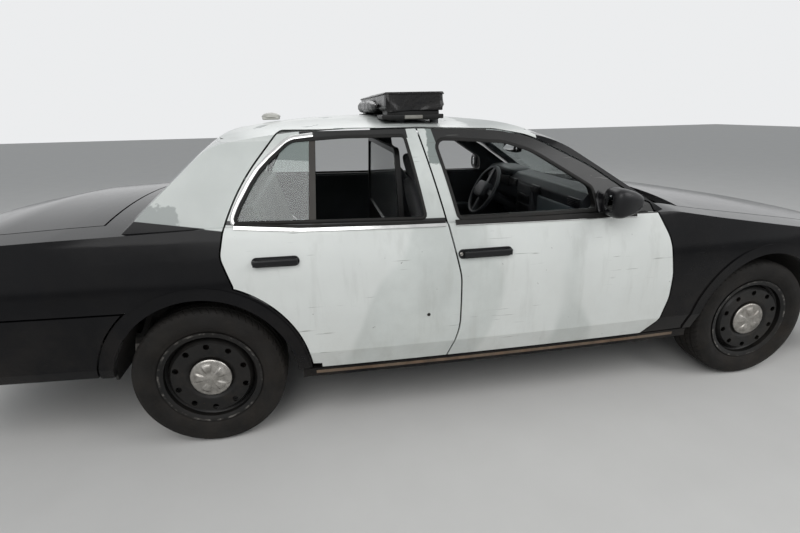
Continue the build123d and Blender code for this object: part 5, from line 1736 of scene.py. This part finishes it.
@dataclass
class Chassis(Assembly):
    """Frame, floor, engine, axle and steering parts."""

    def build(self) -> None:
        """Dresses everything under the body."""
        paint = self.paint
        for node in ("floor_pan", "firewall", "boot_floor", "ladder_frame", "fuel_tank", "suspension_arms"):
            self.dresser.keep(node, paint.under)
        for node in ("engine_block", "radiator", "exhaust", "rear_axle", "knuckle_left", "knuckle_right"):
            self.dresser.keep(node, paint.engine)
        self.dresser.keep("wipers", paint.plastic)


# ---- Stage -----------------------------------------------------------------------------------


@dataclass(frozen=True)
class Stage:
    """Pale floor, soft lights and the camera of the photograph."""

    eye: Point = (-0.717, -2.923, 1.510)
    yaw: float = 9.52
    pitch: float = 18.72
    roll: float = -1.14
    focal_pixels: float = 462.0
    width_pixels: float = 800.0
    floor_dark: Colour = (0.60, 0.59, 0.57, 1)
    floor_light: Colour = (0.66, 0.65, 0.63, 1)
    sky: tuple[Colour, float] = ((0.93, 0.94, 0.95, 1), 0.9)
    fill: tuple[Colour, float] = ((0.9, 0.95, 1.0, 1), 0.38)
    lights: tuple[tuple[Point, Point, float, float], ...] = (
        ((-2.5, -5.5, 5.5), (0, 0, 0.8), 5.0, 225.0),
        ((4.5, -3.5, 4.5), (0.5, 0, 0.8), 4.0, 130.0),
        ((0.0, 5.0, 5.5), (0, 0, 1.0), 5.0, 116.0),
    )

    def build(self) -> None:
        """Sets the floor, the lights, the world and the camera."""
        self.floor()
        for i, (place, aim, size, power) in enumerate(self.lights):
            self.light(i, place, aim, size, power)
        self.world()
        self.camera()

    def floor(self) -> None:
        """Wide pale floor."""
        Bench.clear()
        bpy.ops.mesh.primitive_plane_add(size=60, location=(0, 0, 0))
        piece = Bench.named("floor")
        material = bpy.data.materials.new("pale_floor")
        material.use_nodes = True
        graph = Graph(material.node_tree)
        cloud = graph.grain(graph.place(), 3.0, 5.0)
        colour = graph.blend(cloud, self.floor_dark, self.floor_light)
        shader = graph.add("ShaderNodeBsdfPrincipled", {"Base Color": colour, "Roughness": 0.8})
        graph.node("ShaderNodeOutputMaterial", {"Surface": shader})
        piece.data.materials.append(material)

    def light(self, number: int, place: Point, aim: Point, size: float, power: float) -> None:
        """One soft lamp that looks at a point."""
        lamp = bpy.data.lights.new(f"soft_light_{number}", "AREA")
        lamp.size = size
        lamp.energy = power
        holder = bpy.data.objects.new(lamp.name, lamp)
        bpy.context.scene.collection.objects.link(holder)
        holder.location = place
        holder.rotation_euler = (Vector(aim) - Vector(place)).to_track_quat("-Z", "Y").to_euler()

    def world(self) -> None:
        """Even pale surroundings, plain white to the camera and in reflections."""
        world = bpy.data.worlds.new("surroundings")
        bpy.context.scene.world = world
        world.use_nodes = True
        graph = Graph(world.node_tree)
        words = ("Camera", "Glossy", "Transmission")
        rays = [graph.add("ShaderNodeLightPath", output=f"Is {word} Ray") for word in words]
        seen = graph.math("MAXIMUM", rays[0], graph.math("MAXIMUM", rays[1], rays[2]))
        pale, fill = (
            graph.add("ShaderNodeBackground", {"Color": colour, "Strength": strength})
            for colour, strength in (self.sky, self.fill)
        )
        both = graph.add("ShaderNodeMixShader", {0: seen, 1: fill, 2: pale})
        graph.node("ShaderNodeOutputWorld", {"Surface": both})

    def camera(self) -> None:
        """Camera at the photograph's place, height and turn."""
        yaw, pitch, roll = (math.radians(a) for a in (self.yaw, self.pitch, self.roll))
        ahead = Vector((math.sin(yaw) * math.cos(pitch), math.cos(yaw) * math.cos(pitch), -math.sin(pitch)))
        right = Vector((math.cos(yaw), -math.sin(yaw), 0))
        up = right.cross(ahead)
        level = math.cos(roll) * right + math.sin(roll) * up
        upright = -math.sin(roll) * right + math.cos(roll) * up
        turn = Matrix((level, upright, -ahead)).transposed()
        data = bpy.data.cameras.new("photo_camera")
        data.sensor_fit = "HORIZONTAL"
        data.sensor_width = 36.0
        data.lens = 36.0 * self.focal_pixels / self.width_pixels
        data.clip_start = 0.05
        holder = bpy.data.objects.new("photo_camera", data)
        bpy.context.scene.collection.objects.link(holder)
        holder.matrix_world = Matrix.Translation(self.eye) @ turn.to_4x4()
        bpy.context.scene.camera = holder


def main() -> None:
    """Dresses the car and sets the stage."""
    bpy.context.scene.view_settings.view_transform = "Standard"
    dresser = Dresser(Palette())
    Stage().build()
    for part in (BodyShell, Doors, Wheels, Mirrors, RoofKit, Cabin, Chassis):
        part(dresser).build()
        log.info("%s done", part.__name__)


if __name__ == "__main__":
    main()
